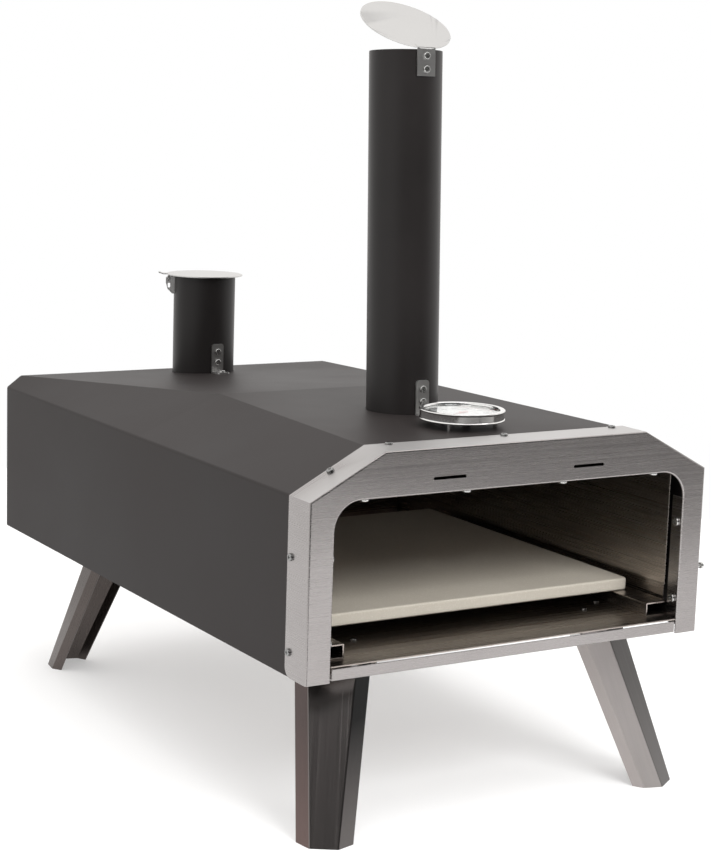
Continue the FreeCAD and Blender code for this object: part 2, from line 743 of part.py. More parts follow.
def make_dial_bezel():
    """Turned rim: base lip, straight side and rolled top."""
    profile = [
        (DIAL_R - 1.6, DIAL_BOTTOM),
        (DIAL_R - 0.3, DIAL_BOTTOM),
        (DIAL_R, DIAL_BOTTOM + 0.4),
        (DIAL_R, DIAL_BOTTOM + 1.2),
        (DIAL_R - 0.7, DIAL_BOTTOM + 1.8),
        (DIAL_R - 0.7, DIAL_TOP - 2.4),
        (DIAL_R, DIAL_TOP - 1.8),
        (DIAL_R, DIAL_TOP - 0.7),
        (DIAL_R - 0.8, DIAL_TOP),
        (DIAL_WINDOW_R + 1.0, DIAL_TOP),
        (DIAL_WINDOW_R, DIAL_TOP - 0.6),
        (DIAL_WINDOW_R, DIAL_TOP - 1.6),
        (DIAL_R - 1.6, DIAL_TOP - 1.6),
    ]
    return at_dial(spin(profile))


def make_dial_case():
    radius = DIAL_R - 1.6
    cup = spin([
        (STEM_R, DIAL_BOTTOM),
        (radius, DIAL_BOTTOM),
        (radius, DIAL_BOTTOM + 5.6),
        (radius - 1.0, DIAL_BOTTOM + 5.6),
        (radius - 1.0, DIAL_BOTTOM + 1.0),
        (STEM_R, DIAL_BOTTOM + 1.0),
    ])
    return at_dial(cup)


def make_dial_face():
    face = tube(DIAL_R - 2.8, 1.2, Vec(0, 0, DIAL_BOTTOM + 3.0), Vec(0, 0, DIAL_BOTTOM + 3.8))
    return at_dial(face)


def make_dial_glass():
    low = DIAL_BOTTOM + 5.8
    return at_dial(Part.makeCylinder(DIAL_R - 1.8, 1.6, Vec(0, 0, low)))


def make_dial_pointer():
    low = DIAL_BOTTOM + 4.2
    corners = [(-9, 0), (-8, -1.6), (0, -1.4), (27, 0), (0, 1.4), (-8, 1.6)]
    outline = [Vec(x, y, low) for x, y in corners]
    blade = prism(outline, UP * 0.5)
    hub = Part.makeCylinder(2.6, 0.9, Vec(0, 0, low))
    pointer = fuse([blade, hub])
    pointer.rotate(Vec(0, 0, 0), UP, 205)
    pointer = pointer.cut(rod(0.8 + RUNNING, Vec(0, 0, low - 2), Vec(0, 0, low + 3)))
    return at_dial(pointer)


def make_dial_spindle():
    return at_dial(rod(0.8, Vec(0, 0, DIAL_BOTTOM + 1.0), Vec(0, 0, DIAL_BOTTOM + 5.4)))


def make_dial_stem():
    """Sensing stem through the roof, with a hexagonal nut on the roof."""
    stem = rod(STEM_R, Vec(0, 0, STEM_BOTTOM), Vec(0, 0, DIAL_BOTTOM + 1.0))
    corners = []
    for step in range(6):
        angle = math.radians(60 * step)
        corners.append(Vec(8 * math.cos(angle), 8 * math.sin(angle), ROOF_HEIGHT - SHEET))
    nut = prism(corners, UP * 4.6)
    return at_dial(fuse([stem, nut]))


def make_dial_standoffs():
    solids = []
    for angle in (215, 325, 90):
        x = 29 * math.cos(math.radians(angle))
        y = 29 * math.sin(math.radians(angle))
        peg = rod(2.0, Vec(x, y, ROOF_HEIGHT - SHEET), Vec(x, y, DIAL_BOTTOM))
        solids.append(at_dial(peg))
    return solids


# ---------------------------------------------------------------- burner
def guide_screw_points():
    return [(side * (TRAY_HALF + 9), y) for side in (-1, 1) for y in (530.0, 620.0)]


def make_tray_guides():
    solids = []
    for side in (-1, 1):
        inner = side * (TRAY_HALF + 0.6)
        upright = side * (TRAY_HALF + 0.6 + SHEET)
        outer = side * (TRAY_HALF + 15)
        wall = box(min(inner, upright), max(inner, upright), TRAY_FRONT, PAN_REAR, FLOOR_Z, FLOOR_Z + 14)
        foot = box(min(inner, outer), max(inner, outer), TRAY_FRONT, PAN_REAR, FLOOR_Z, FLOOR_Z + SHEET)
        guide = fuse([wall, foot])
        for x, y in guide_screw_points():
            if x * side > 0:
                guide = hole_for_screw(guide, Vec(x, y, FLOOR_Z + SHEET), UP, reach=3.0)
        solids.append(guide)
    return solids


def make_burner_tray():
    """Ash tray with the rear door fixed to it."""
    bottom = box(-TRAY_HALF, TRAY_HALF, TRAY_FRONT, DEPTH + 0.6, TRAY_Z, TRAY_Z + SHEET)
    front = box(-TRAY_HALF, TRAY_HALF, TRAY_FRONT, TRAY_FRONT + SHEET, TRAY_Z, TRAY_Z + TRAY_LIP)
    pieces = [bottom, front]
    for side in (-1, 1):
        x0 = side * TRAY_HALF
        x1 = side * (TRAY_HALF - SHEET)
        pieces.append(box(min(x0, x1), max(x0, x1), TRAY_FRONT, DEPTH + 0.6, TRAY_Z, TRAY_Z + TRAY_LIP))
    door = box(-DOOR_HALF, DOOR_HALF, DEPTH + 0.5, DEPTH + 0.5 + PLATE, DOOR_BOTTOM, DOOR_TOP)
    corners = [edge for edge in door.Edges if abs(edge.Length - PLATE) < 1e-6]
    pieces.append(door.makeFillet(6.0, corners))
    tray = fuse(pieces)
    for step in range(7):
        x = -36 + 12 * step
        vent = box(x - 2, x + 2, DEPTH - 2, DEPTH + 5, 80, 94)
        tray = tray.cut(vent)
    for x in (-GRIP_HALF + 8, GRIP_HALF - 8):
        tray = tray.cut(rod(POST_R, Vec(x, DEPTH - 2, GRIP_Z), Vec(x, DEPTH + 5, GRIP_Z)))
    for x, y in basket_screw_points():
        tray = hole_for_screw(tray, Vec(x, y, TRAY_Z + SHEET), UP, reach=2.5)
    return tray


def basket_screw_points():
    return [(x, y) for x in (-34.0, 34.0) for y in (532.0, 628.0)]


def make_fuel_basket():
    """Open-topped perforated basket under the hopper."""
    low = TRAY_Z + SHEET
    outer = box(-BASKET_HALF, BASKET_HALF, BASKET_FRONT, BASKET_REAR, low, BASKET_TOP)
    half = BASKET_HALF - SHEET
    inner = box(-half, half, BASKET_FRONT + SHEET, BASKET_REAR - SHEET, low + SHEET, BASKET_TOP + 1)
    basket = outer.cut(inner)
    holes = []
    for row in range(3):
        z = low + 14 + 14 * row
        for step in range(6):
            x = -37.5 + 15 * step
            holes.append(rod(4.0, Vec(x, BASKET_FRONT - 2, z), Vec(x, BASKET_FRONT + 4, z)))
            holes.append(rod(4.0, Vec(x, BASKET_REAR - 4, z), Vec(x, BASKET_REAR + 2, z)))
            y = BASKET_FRONT + 18 + 15.2 * step
            holes.append(rod(4.0, Vec(-BASKET_HALF - 2, y, z), Vec(-BASKET_HALF + 4, y, z)))
            holes.append(rod(4.0, Vec(BASKET_HALF - 4, y, z), Vec(BASKET_HALF + 2, y, z)))
    for step in range(7):
        x = -36 + 12 * step
        holes.append(box(x - 2, x + 2, BASKET_FRONT + 16, BASKET_REAR - 16, low - 1, low + 3))
    basket = basket.cut(Part.makeCompound(holes))
    for x, y in basket_screw_points():
        basket = hole_for_screw(basket, Vec(x, y, low + SHEET), UP, reach=2.5)
    return basket


def make_burner_handle():
    posts = []
    reach = GRIP_HALF - 8
    for x in (-reach, reach):
        posts.append(rod(POST_R, Vec(x, DEPTH + 0.5, GRIP_Z), Vec(x, GRIP_Y, GRIP_Z)))
        posts.append(rod(6.5, Vec(x, DEPTH + 0.5 + PLATE, GRIP_Z), Vec(x, DEPTH + 4.0, GRIP_Z)))
    spine = rod(HANDLE_R, Vec(-GRIP_HALF, GRIP_Y, GRIP_Z), Vec(GRIP_HALF, GRIP_Y, GRIP_Z))
    return fuse(posts + [spine])


def make_burner_grip():
    """Round wooden grip between the two posts."""
    reach = GRIP_HALF - 8 - POST_R - 0.2
    grip = rod(GRIP_R, Vec(-reach, GRIP_Y, GRIP_Z), Vec(reach, GRIP_Y, GRIP_Z))
    rims = [edge for edge in grip.Edges if abs(edge.BoundBox.XMax - edge.BoundBox.XMin) < 1e-6]
    grip = grip.makeFillet(2.0, rims)
    return grip.cut(rod(HANDLE_R, Vec(-reach - 1, GRIP_Y, GRIP_Z), Vec(reach + 1, GRIP_Y, GRIP_Z)))


# ---------------------------------------------------------------- legs
LEGS = {
    "leg_front_left": (-1, -1),
    "leg_front_right": (1, -1),
    "leg_rear_left": (-1, 1),
    "leg_rear_right": (1, 1),
}


def leg_directions(side, end):
    """Outward splay direction and the level direction across the leg."""
    turn = math.radians(LEG_TURN)
    outward = Vec(side * math.sin(turn), end * math.cos(turn), 0)
    across = outward.cross(UP)
    return outward, across


def leg_foot(side, end):
    x, y = FRONT_FOOT if end < 0 else REAR_FOOT
    return Vec(side * x, y, -GROUND_DROP)


def leg_pivot(side, end):
    outward = leg_directions(side, end)[0]
    lean = (GROUND_DROP + PIVOT_Z) * math.tan(math.radians(LEG_TILT))
    foot = leg_foot(side, end)
    return Vec(foot.x, foot.y, PIVOT_Z) - outward * (lean + PIVOT_IN)


def leg_section(side, end, z):
    """Outline of the open leg channel at one height."""
    outward, across = leg_directions(side, end)
    rise = z + GROUND_DROP
    share = rise / (GROUND_DROP + LEG_TOP_Z)
    web = WEB_BOTTOM + (WEB_TOP - WEB_BOTTOM) * share
    facet = FACET_IN_BOTTOM + (FACET_IN_TOP - FACET_IN_BOTTOM) * share
    origin = leg_foot(side, end) + UP * rise - outward * (rise * math.tan(math.radians(LEG_TILT)))
    thick = PLATE / math.cos(math.radians(LEG_TILT))
    outer = [
        (-facet - FLANGE_IN, -web / 2 - FACET_OUT),
        (-facet, -web / 2 - FACET_OUT),
        (0, -web / 2),
        (0, web / 2),
        (-facet, web / 2 + FACET_OUT),
        (-facet - FLANGE_IN, web / 2 + FACET_OUT),
    ]
    inner = [
        (-facet - FLANGE_IN, web / 2 + FACET_OUT - PLATE),
        (-facet - thick * 0.45, web / 2 + FACET_OUT - PLATE),
        (-thick, web / 2 - PLATE * 0.45),
        (-thick, -web / 2 + PLATE * 0.45),
        (-facet - thick * 0.45, -web / 2 - FACET_OUT + PLATE),
        (-facet - FLANGE_IN, -web / 2 - FACET_OUT + PLATE),
    ]
    points = [origin + outward * a + across * b for a, b in outer + inner]
    return Part.makePolygon(points + [points[0]])


def make_leg(side, end):
    outward, across = leg_directions(side, end)
    sections = [leg_section(side, end, z) for z in (-GROUND_DROP, LEG_TOP_Z)]
    leg = Part.makeLoft(sections, True, True)
    pivot = leg_pivot(side, end)
    return leg.cut(rod(PIVOT_R + RUNNING, pivot - across * 60, pivot + across * 60))


def make_leg_bracket(side, end):
    """U bracket under the floor pan; its ears lie inside the leg's flanges."""
    outward, across = leg_directions(side, end)
    pivot = leg_pivot(side, end)
    top_z = FLOOR_Z - SHEET
    half = EAR_WIDTH / 2
    top_point = Vec(pivot.x, pivot.y, top_z)
    plate_corners = [
        top_point - across * EAR_HALF - outward * half,
        top_point + across * EAR_HALF - outward * half,
        top_point + across * EAR_HALF + outward * half,
        top_point - across * EAR_HALF + outward * half,
    ]
    pieces = [prism(plate_corners, UP * -PLATE)]
    for way in (-1, 1):
        face = across * (way * EAR_HALF)
        ear_corners = [
            top_point + face - outward * half,
            top_point + face + outward * half,
            pivot + face + outward * half,
            pivot + face - outward * half,
        ]
        inward = across * (-way * PLATE)
        pieces.append(prism(ear_corners, inward))
        pieces.append(rod(half, pivot + face, pivot + face + inward))
    solid = fuse(pieces).cut(rod(PIVOT_R, pivot - across * 60, pivot + across * 60))
    for point in leg_screw_points():
        if (Vec(point.x, point.y, 0) - Vec(pivot.x, pivot.y, 0)).Length < 30:
            solid = hole_for_screw(solid, Vec(point.x, point.y, top_z), UP, reach=4.0)
    return solid


def leg_screw_points():
    """Screws through the pan into each leg bracket."""
    points = []
    for side, end in LEGS.values():
        across = leg_directions(side, end)[1]
        pivot = leg_pivot(side, end)
        for way in (-1, 1):
            spot = pivot + across * (way * 16)
            points.append(Vec(spot.x, spot.y, FLOOR_Z))
    return points


def make_pivot_bolt(side, end):
    across = leg_directions(side, end)[1]
    pivot = leg_pivot(side, end)
    reach = WEB_TOP / 2 + FACET_OUT + 1.6
    bolt = rod(PIVOT_R, pivot - across * (reach + 3), pivot + across * reach)
    head = rod(5.0, pivot + across * reach, pivot + across * (reach + 2.6))
    nut = rod(4.8, pivot - across * reach, pivot - across * (reach + 2.6))
    return fuse([bolt, head, nut])


# ---------------------------------------------------------------- small parts
def make_side_stud():
    """Button-headed stud on the right side of the frame."""
    start = Vec(WIDTH / 2, 5.5, 58)
    neck = rod(1.5, start, start + RIGHT * 5.5)
    head = rod(2.8, start + RIGHT * 5.5, start + RIGHT * 7.8)
    return fuse([neck, head])


def screws(places, **sizes):
    return [pan_screw(point, out, **sizes) for point, out in places]


os.makedirs("parts", exist_ok=True)

export_node("outer_shell", make_outer_shell())
export_node("front_frame", make_front_frame())
export_node("front_bar", make_front_bar())
export_node("floor_pan", make_floor_pan())
export_node("lining_left", make_side_lining(-1))
export_node("lining_right", make_side_lining(1))
export_node("lining_ceiling", make_ceiling_lining())
export_node("flame_baffle", make_flame_baffle())
export_node("stone_rail_left", make_stone_rail(-1))
export_node("stone_rail_right", make_stone_rail(1))
export_node("pizza_stone", make_stone())

export_node("flue_pipe", make_flue_pipe())
export_node("flue_ring", make_flue_ring())
export_group("flue_brackets", make_brackets("flue"))
export_node("flue_cap", make_flue_cap())
export_group("flue_cap_screws", screws(cap_screw_places(), shank=3.0))
bracket_places = flue_screw_places() + hopper_screw_places() + foot_screw_places()
export_group("bracket_screws", screws(bracket_places, shank=4.0))

export_node("hopper_pipe", make_hopper_pipe())
export_group("hopper_brackets", make_brackets("hopper"))
export_node("lid_hinge_ears", make_hinge_ears())
export_node("lid_hinge_pin", make_hinge_pin())
export_node("hopper_lid", make_hopper_lid())

export_node("dial_bezel", make_dial_bezel())
export_node("dial_case", make_dial_case())
export_node("dial_face", make_dial_face())
export_node("dial_glass", make_dial_glass())
export_node("dial_pointer", make_dial_pointer())
export_node("dial_spindle", make_dial_spindle())
export_node("dial_stem", make_dial_stem())
export_group("dial_standoffs", make_dial_standoffs())

export_group("tray_guides", make_tray_guides())
export_node("burner_tray", make_burner_tray())
export_node("fuel_basket", make_fuel_basket())
export_node("burner_handle", make_burner_handle())
export_node("burner_grip", make_burner_grip())

for leg_name, (leg_side, leg_end) in LEGS.items():
    place = leg_name[len("leg_"):]
    export_node(leg_name, make_leg(leg_side, leg_end))
    export_node("leg_bracket_" + place, make_leg_bracket(leg_side, leg_end))
    export_node("pivot_bolt_" + place, make_pivot_bolt(leg_side, leg_end))

floor_places = [(point, UP) for point in leg_screw_points()]
rail_places = [(point, UP) for point in rail_screw_points()]
guide_places = [(Vec(x, y, FLOOR_Z + SHEET), UP) for x, y in guide_screw_points()]
basket_places = [(Vec(x, y, TRAY_Z + 2 * SHEET), UP) for x, y in basket_screw_points()]
export_group("frame_screws", screws(wrap_screw_places(), shank=5.0))
export_group("fold_screws", screws(fold_screw_places(), head_r=4.0, head_h=2.4, shank_r=1.6, shank=5.0))
export_group("floor_screws", screws(floor_places, head_r=3.2, head_h=1.6, shank=4.0))
export_group("rail_screws", screws(rail_places + guide_places, head_r=3.0, head_h=1.6, shank=3.6))
export_group("basket_screws", screws(basket_places, head_r=3.0, head_h=1.6, shank=2.4))
export_node("side_stud", make_side_stud())
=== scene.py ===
import math

import bmesh
import bpy
from mathutils import Matrix, Vector


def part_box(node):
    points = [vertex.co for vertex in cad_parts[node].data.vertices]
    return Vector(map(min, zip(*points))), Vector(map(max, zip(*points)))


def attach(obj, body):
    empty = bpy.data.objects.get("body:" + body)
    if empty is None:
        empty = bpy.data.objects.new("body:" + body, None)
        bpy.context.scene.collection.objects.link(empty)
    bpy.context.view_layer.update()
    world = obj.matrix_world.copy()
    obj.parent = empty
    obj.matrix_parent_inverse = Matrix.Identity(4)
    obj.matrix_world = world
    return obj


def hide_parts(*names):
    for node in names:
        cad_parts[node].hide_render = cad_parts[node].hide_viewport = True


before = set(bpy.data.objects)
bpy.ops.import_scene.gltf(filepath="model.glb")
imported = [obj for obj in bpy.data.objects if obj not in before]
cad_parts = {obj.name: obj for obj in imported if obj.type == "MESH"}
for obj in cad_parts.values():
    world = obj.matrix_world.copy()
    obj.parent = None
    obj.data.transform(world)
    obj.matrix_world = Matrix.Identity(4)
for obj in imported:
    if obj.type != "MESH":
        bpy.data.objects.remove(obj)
bpy.context.view_layer.update()

# ---------------------------------------------------------------- places
# Sizes below are millimetres in the oven's own drawing frame: front face at y 0, bottom edge at z 0.
MM = 0.001
FRONT_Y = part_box("front_frame")[0].y
BOTTOM_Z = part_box("front_frame")[0].z
WIDTH = 400.0
DEPTH = 648.0
SIDE_HEIGHT = 148.0
ROOF_HEIGHT = 184.0
REAR_HEIGHT = 160.0
RIDGE_Y = 320.0
FRONT_FLAT = 132.0
RIDGE_FLAT = 114.0
REAR_FLAT = 185.0
SHEET = 1.2
PLATE = 1.5
PIPE_R = 32.5
PIPE_WALL = 1.2
FLUE_Y = 185.0
FLUE_LEAN = math.radians(2.6)
FLUE_AXIS = Vector((0, math.sin(FLUE_LEAN), math.cos(FLUE_LEAN)))
FLUE_TOP = 501.0
CAP_BEND_Y = 167.0
CAP_BEND_Z = 503.0
HOPPER_Y = 582.0
HOPPER_TOP = 266.6
DIAL_Y = 89.0
DIAL_R = 37.2
DIAL_BOTTOM = 189.0
DIAL_TOP = 198.4
DIAL_WINDOW_R = 32.4
DIAL_FACE = DIAL_BOTTOM + 3.82
MOUTH_HALF = 177.3
MOUTH_TOP = 146.8
GRIP_Y = 686.0
GRIP_Z = 56.0
GROUND_DROP = 139.0


def at(x, y, z):
    """Point of the shared frame, in metres, from drawing millimetres."""
    return Vector((x * MM, FRONT_Y + y * MM, BOTTOM_Z + z * MM))


# ---------------------------------------------------------------- procedural finishes
class Finish:
    """One material, built from nodes around a Principled shader."""

    def __init__(self, name, **sockets):
        self.material = bpy.data.materials.new(name)
        self.material.use_nodes = True
        self.tree = self.material.node_tree
        self.tree.nodes.clear()
        self.shader = self.node("ShaderNodeBsdfPrincipled")
        output = self.node("ShaderNodeOutputMaterial")
        self.link(self.shader.outputs["BSDF"], output.inputs["Surface"])
        for socket, value in sockets.items():
            self.shader.inputs[socket.replace("_", " ")].default_value = value
        self.place = self.node("ShaderNodeTexCoord").outputs["Object"]

    def turn_grain(self, turn):
        """Measure places along the axes of a turned part; turn is the part's own axes as columns."""
        mapping = self.node("ShaderNodeMapping")
        mapping.inputs["Rotation"].default_value = turn.transposed().to_euler()
        self.link(self.place, mapping.inputs["Vector"])
        self.place = mapping.outputs["Vector"]

    def node(self, kind):
        return self.tree.nodes.new(kind)

    def link(self, start, end):
        self.tree.links.new(start, end)

    def noise(self, per_metre, detail=3.0, roughness=0.55, distortion=0.0):
        """Noise from 0 to 1; per_metre is how fine it is along x, y and z."""
        mapping = self.node("ShaderNodeMapping")
        mapping.inputs["Scale"].default_value = per_metre
        self.link(self.place, mapping.inputs["Vector"])
        texture = self.node("ShaderNodeTexNoise")
        texture.inputs["Scale"].default_value = 1.0
        texture.inputs["Detail"].default_value = detail
        texture.inputs["Roughness"].default_value = roughness
        texture.inputs["Distortion"].default_value = distortion
        self.link(mapping.outputs["Vector"], texture.inputs["Vector"])
        return texture.outputs["Fac"]

    def spread(self, source, low, high, start=0.3, end=0.7):
        """A value that goes from low to high as the source goes from start to end."""
        node = self.node("ShaderNodeMapRange")
        node.inputs["From Min"].default_value = start
        node.inputs["From Max"].default_value = end
        node.inputs["To Min"].default_value = low
        node.inputs["To Max"].default_value = high
        self.link(source, node.inputs["Value"])
        return node.outputs["Result"]

    def tint(self, source, stops):
        """Colour along a ramp of (place, colour) stops."""
        ramp = self.node("ShaderNodeValToRGB")
        elements = ramp.color_ramp.elements
        while len(elements) < len(stops):
            elements.new(0.5)
        for element, (place, colour) in zip(elements, stops):
            element.position = place
            element.color = (*colour, 1.0)
        self.link(source, ramp.inputs["Fac"])
        return ramp.outputs["Color"]

    def shades(self, source, dark, light):
        """Colour from dark to light over the usual range of a noise."""
        return self.tint(self.spread(source, 0.0, 1.0), [(0.0, dark), (1.0, light)])

    def between(self, kind, first, second, factor):
        node = self.node("ShaderNodeMix")
        node.data_type = kind
        self.link(first, node.inputs["A"])
        self.link(second, node.inputs["B"])
        if isinstance(factor, float):
            node.inputs["Factor"].default_value = factor
        else:
            self.link(factor, node.inputs["Factor"])
        return node.outputs["Result"]

    def mix(self, first, second, factor):
        """Colour between two; the factor is a socket or a number."""
        return self.between("RGBA", first, second, factor)

    def blend(self, first, second, factor):
        """Value between two; the factor is a socket or a number."""
        return self.between("FLOAT", first, second, factor)

    def facing_up(self):
        """1 on level faces, 0 on upright ones."""
        size = self.node("ShaderNodeMath")
        size.operation = "ABSOLUTE"
        self.link(self.facing((0, 0, 1)), size.inputs[0])
        return size.outputs["Value"]

    def facing(self, direction):
        """From -1 to 1: how far a face is turned towards a direction."""
        geometry = self.node("ShaderNodeNewGeometry")
        product = self.node("ShaderNodeVectorMath")
        product.operation = "DOT_PRODUCT"
        product.inputs[1].default_value = direction
        self.link(geometry.outputs["Normal"], product.inputs[0])
        return product.outputs["Value"]

    def height(self):
        """Height above the table, in metres."""
        split = self.node("ShaderNodeSeparateXYZ")
        self.link(self.place, split.inputs["Vector"])
        return split.outputs["Z"]

    def colour(self, source):
        self.link(source, self.shader.inputs["Base Color"])

    def roughness(self, source):
        self.link(source, self.shader.inputs["Roughness"])

    def relief(self, *layers):
        """Bump from (height socket, depth in millimetres) layers, one on top of another."""
        below = None
        for source, depth in layers:
            bump = self.node("ShaderNodeBump")
            bump.inputs["Strength"].default_value = 1.0
            bump.inputs["Distance"].default_value = depth * MM
            self.link(source, bump.inputs["Height"])
            if below:
                self.link(below, bump.inputs["Normal"])
            below = bump.outputs["Normal"]
        self.link(below, self.shader.inputs["Normal"])


def matt_paint(name, dark, light, rough, grain_depth, gloss):
    """High-temperature paint: fine dry grain over faint clouding."""
    finish = Finish(name, Specular_IOR_Level=gloss)
    cloud = finish.noise((5, 5, 5), detail=4)
    grain = finish.noise((1500, 1500, 1500), detail=2)
    finish.colour(finish.shades(cloud, dark, light))
    finish.roughness(finish.spread(cloud, rough - 0.05, rough + 0.05))
    peel = finish.noise((260, 260, 260), detail=2)
    finish.relief((grain, grain_depth), (peel, grain_depth * 1.6))
    return finish.material


def brushed_steel(name, dark, light, rough, streak=0.5, depth=0.012, stain=None, painted_level_light=None):
    """Stainless sheet brushed along its length: fine lines, faint clouding and wiping marks.

    streak sets how much the lines show, stain adds marks; level faces get painted light: a brighter colour,
    and rougher.
    """
    finish = Finish(name, Metallic=1.0)
    upright_lines = finish.noise((3, 3, 900), detail=5, roughness=0.7)
    level_lines = finish.noise((3, 900, 3), detail=5, roughness=0.7)
    lines = finish.blend(upright_lines, level_lines, finish.facing_up())
    cloud = finish.noise((7, 7, 9), detail=3)
    shade = finish.blend(cloud, lines, streak)
    colour = finish.shades(shade, dark, light)
    sheen = finish.spread(lines, rough - 0.05, rough + 0.07)
    if stain:
        colour = stain(finish, colour)
    if painted_level_light:
        # Painted light: level faces, up or down, take a brighter colour than the upright ones.
        flat = finish.spread(finish.facing_up(), 0.0, 1.0, 0.90, 0.99)
        colour = finish.mix(colour, finish.shades(shade, Vector(painted_level_light) * 0.9, painted_level_light), flat)
        sheen = finish.blend(sheen, finish.spread(lines, 0.48, 0.60), flat)
    finish.colour(colour)
    finish.roughness(sheen)
    finish.relief((lines, depth))
    return finish.material


def leg_steel(name, turn, tones, rough):
    """The frame's steel on a leg, brushed along the leg, its faces toned with painted reflection and shade.

    turn is the leg's own axes as columns; tones holds (foot colour, top colour) for the flange and facet
    of one side, the web, and the other side.
    """
    finish = Finish(name, Metallic=1.0)
    rise = finish.spread(finish.height(), 0.0, 1.0, 0.0, LEG_TONE_RISE)
    side = finish.facing(turn.col[0])
    finish.turn_grain(turn)
    lines = finish.noise((800, 800, 4), detail=5, roughness=0.7)
    cloud = finish.noise((9, 9, 7), detail=3)
    mixed = finish.blend(cloud, lines, finish.spread(cloud, 0.35, 0.55))
    faces = []
    # Painted reflection and shade: each face gets its own tone, changing from foot to top.
    for tone in tones:
        ends = []
        for colour in tone:
            ends.append(finish.shades(mixed, Vector(colour) * 0.89, Vector(colour) * 1.11))
        faces.append(finish.mix(*ends, rise))
    flange, facet, web, far_side = faces
    colour = finish.mix(web, facet, finish.spread(side, 0.0, 1.0, 0.3, 0.7))
    colour = finish.mix(colour, flange, finish.spread(side, 0.0, 1.0, 0.88, 0.96))
    finish.colour(finish.mix(colour, far_side, finish.spread(side, 0.0, 1.0, -0.3, -0.7)))
    finish.roughness(finish.spread(lines, rough - 0.04, rough + 0.06))
    finish.relief((lines, 0.005))
    return finish.material


def polished_steel(name, dark, light, rough):
    """Bright metal with fine random scratches."""
    finish = Finish(name, Metallic=1.0)
    scratch = finish.noise((160, 900, 420), detail=4, roughness=0.7)
    finish.colour(finish.shades(scratch, dark, light))
    finish.roughness(finish.spread(scratch, rough * 0.7, rough * 1.4))
    finish.relief((scratch, 0.003))
    return finish.material


def stone_finish(name):
    """Pressed cordierite: matt, cream, with grains and faint dusting."""
    finish = Finish(name, Specular_IOR_Level=0.25)
    cloud = finish.noise((9, 9, 9), detail=4)
    grain = finish.noise((520, 520, 520), detail=5, roughness=0.75)
    specks = finish.noise((900, 900, 900), detail=1)
    base = finish.shades(cloud, (0.515, 0.475, 0.405), (0.57, 0.53, 0.455))
    flecks = finish.shades(grain, (0.49, 0.45, 0.39), (0.71, 0.67, 0.60))
    finish.colour(finish.mix(base, flecks, finish.spread(specks, 0.0, 0.75, 0.45, 0.75)))
    finish.roughness(finish.spread(grain, 0.82, 0.95))
    finish.relief((grain, 0.10), (cloud, 0.3))
    return finish.material


def wood_finish(name):
    """Oiled hardwood: long grain with pores."""
    finish = Finish(name, Coat_Weight=0.15, Coat_Roughness=0.35)
    rings = finish.noise((18, 320, 320), detail=4, distortion=0.6)
    pores = finish.noise((90, 1500, 1500), detail=3, roughness=0.7)
    base = finish.tint(
        finish.spread(rings, 0.0, 1.0),
        [(0.0, (0.13, 0.058, 0.024)), (0.5, (0.27, 0.13, 0.055)), (1.0, (0.36, 0.19, 0.085))],
    )
    dark = finish.shades(pores, (0.07, 0.03, 0.013), (0.34, 0.18, 0.08))
    finish.colour(finish.mix(base, dark, finish.spread(pores, 0.7, 0.0, 0.3, 0.5)))
    finish.roughness(finish.spread(rings, 0.42, 0.6))
    finish.relief((pores, 0.05), (rings, 0.06))
    return finish.material


def enamel_finish(name, dark, light, rough=0.3):
    """Sprayed gloss colour with a slight ripple."""
    finish = Finish(name, Coat_Weight=0.3, Coat_Roughness=0.15)
    cloud = finish.noise((60, 60, 60), detail=3)
    finish.colour(finish.shades(cloud, dark, light))
    finish.roughness(finish.spread(cloud, rough - 0.04, rough + 0.08))
    finish.relief((cloud, 0.01))
    return finish.material


def glass_finish(name):
    """Clear glass with faint smears."""
    finish = Finish(name, Transmission_Weight=1.0, IOR=1.46)
    smear = finish.noise((50, 50, 50), detail=3)
    finish.colour(finish.shades(smear, (0.95, 0.97, 0.97), (0.99, 1.0, 1.0)))
    finish.roughness(finish.spread(smear, 0.01, 0.04))
    return finish.material


def heat_stain(finish, colour):
    """Straw and brown staining, as the inside of an oven gets."""
    patch = finish.noise((11, 6, 14), detail=4, distortion=0.8)
    stained = finish.tint(
        finish.spread(patch, 0.0, 1.0),
        [(0.0, (0.30, 0.245, 0.21)), (0.6, (0.42, 0.37, 0.335)), (1.0, (0.48, 0.44, 0.41))],
    )
    return finish.mix(colour, stained, finish.spread(patch, 0.35, 0.85))


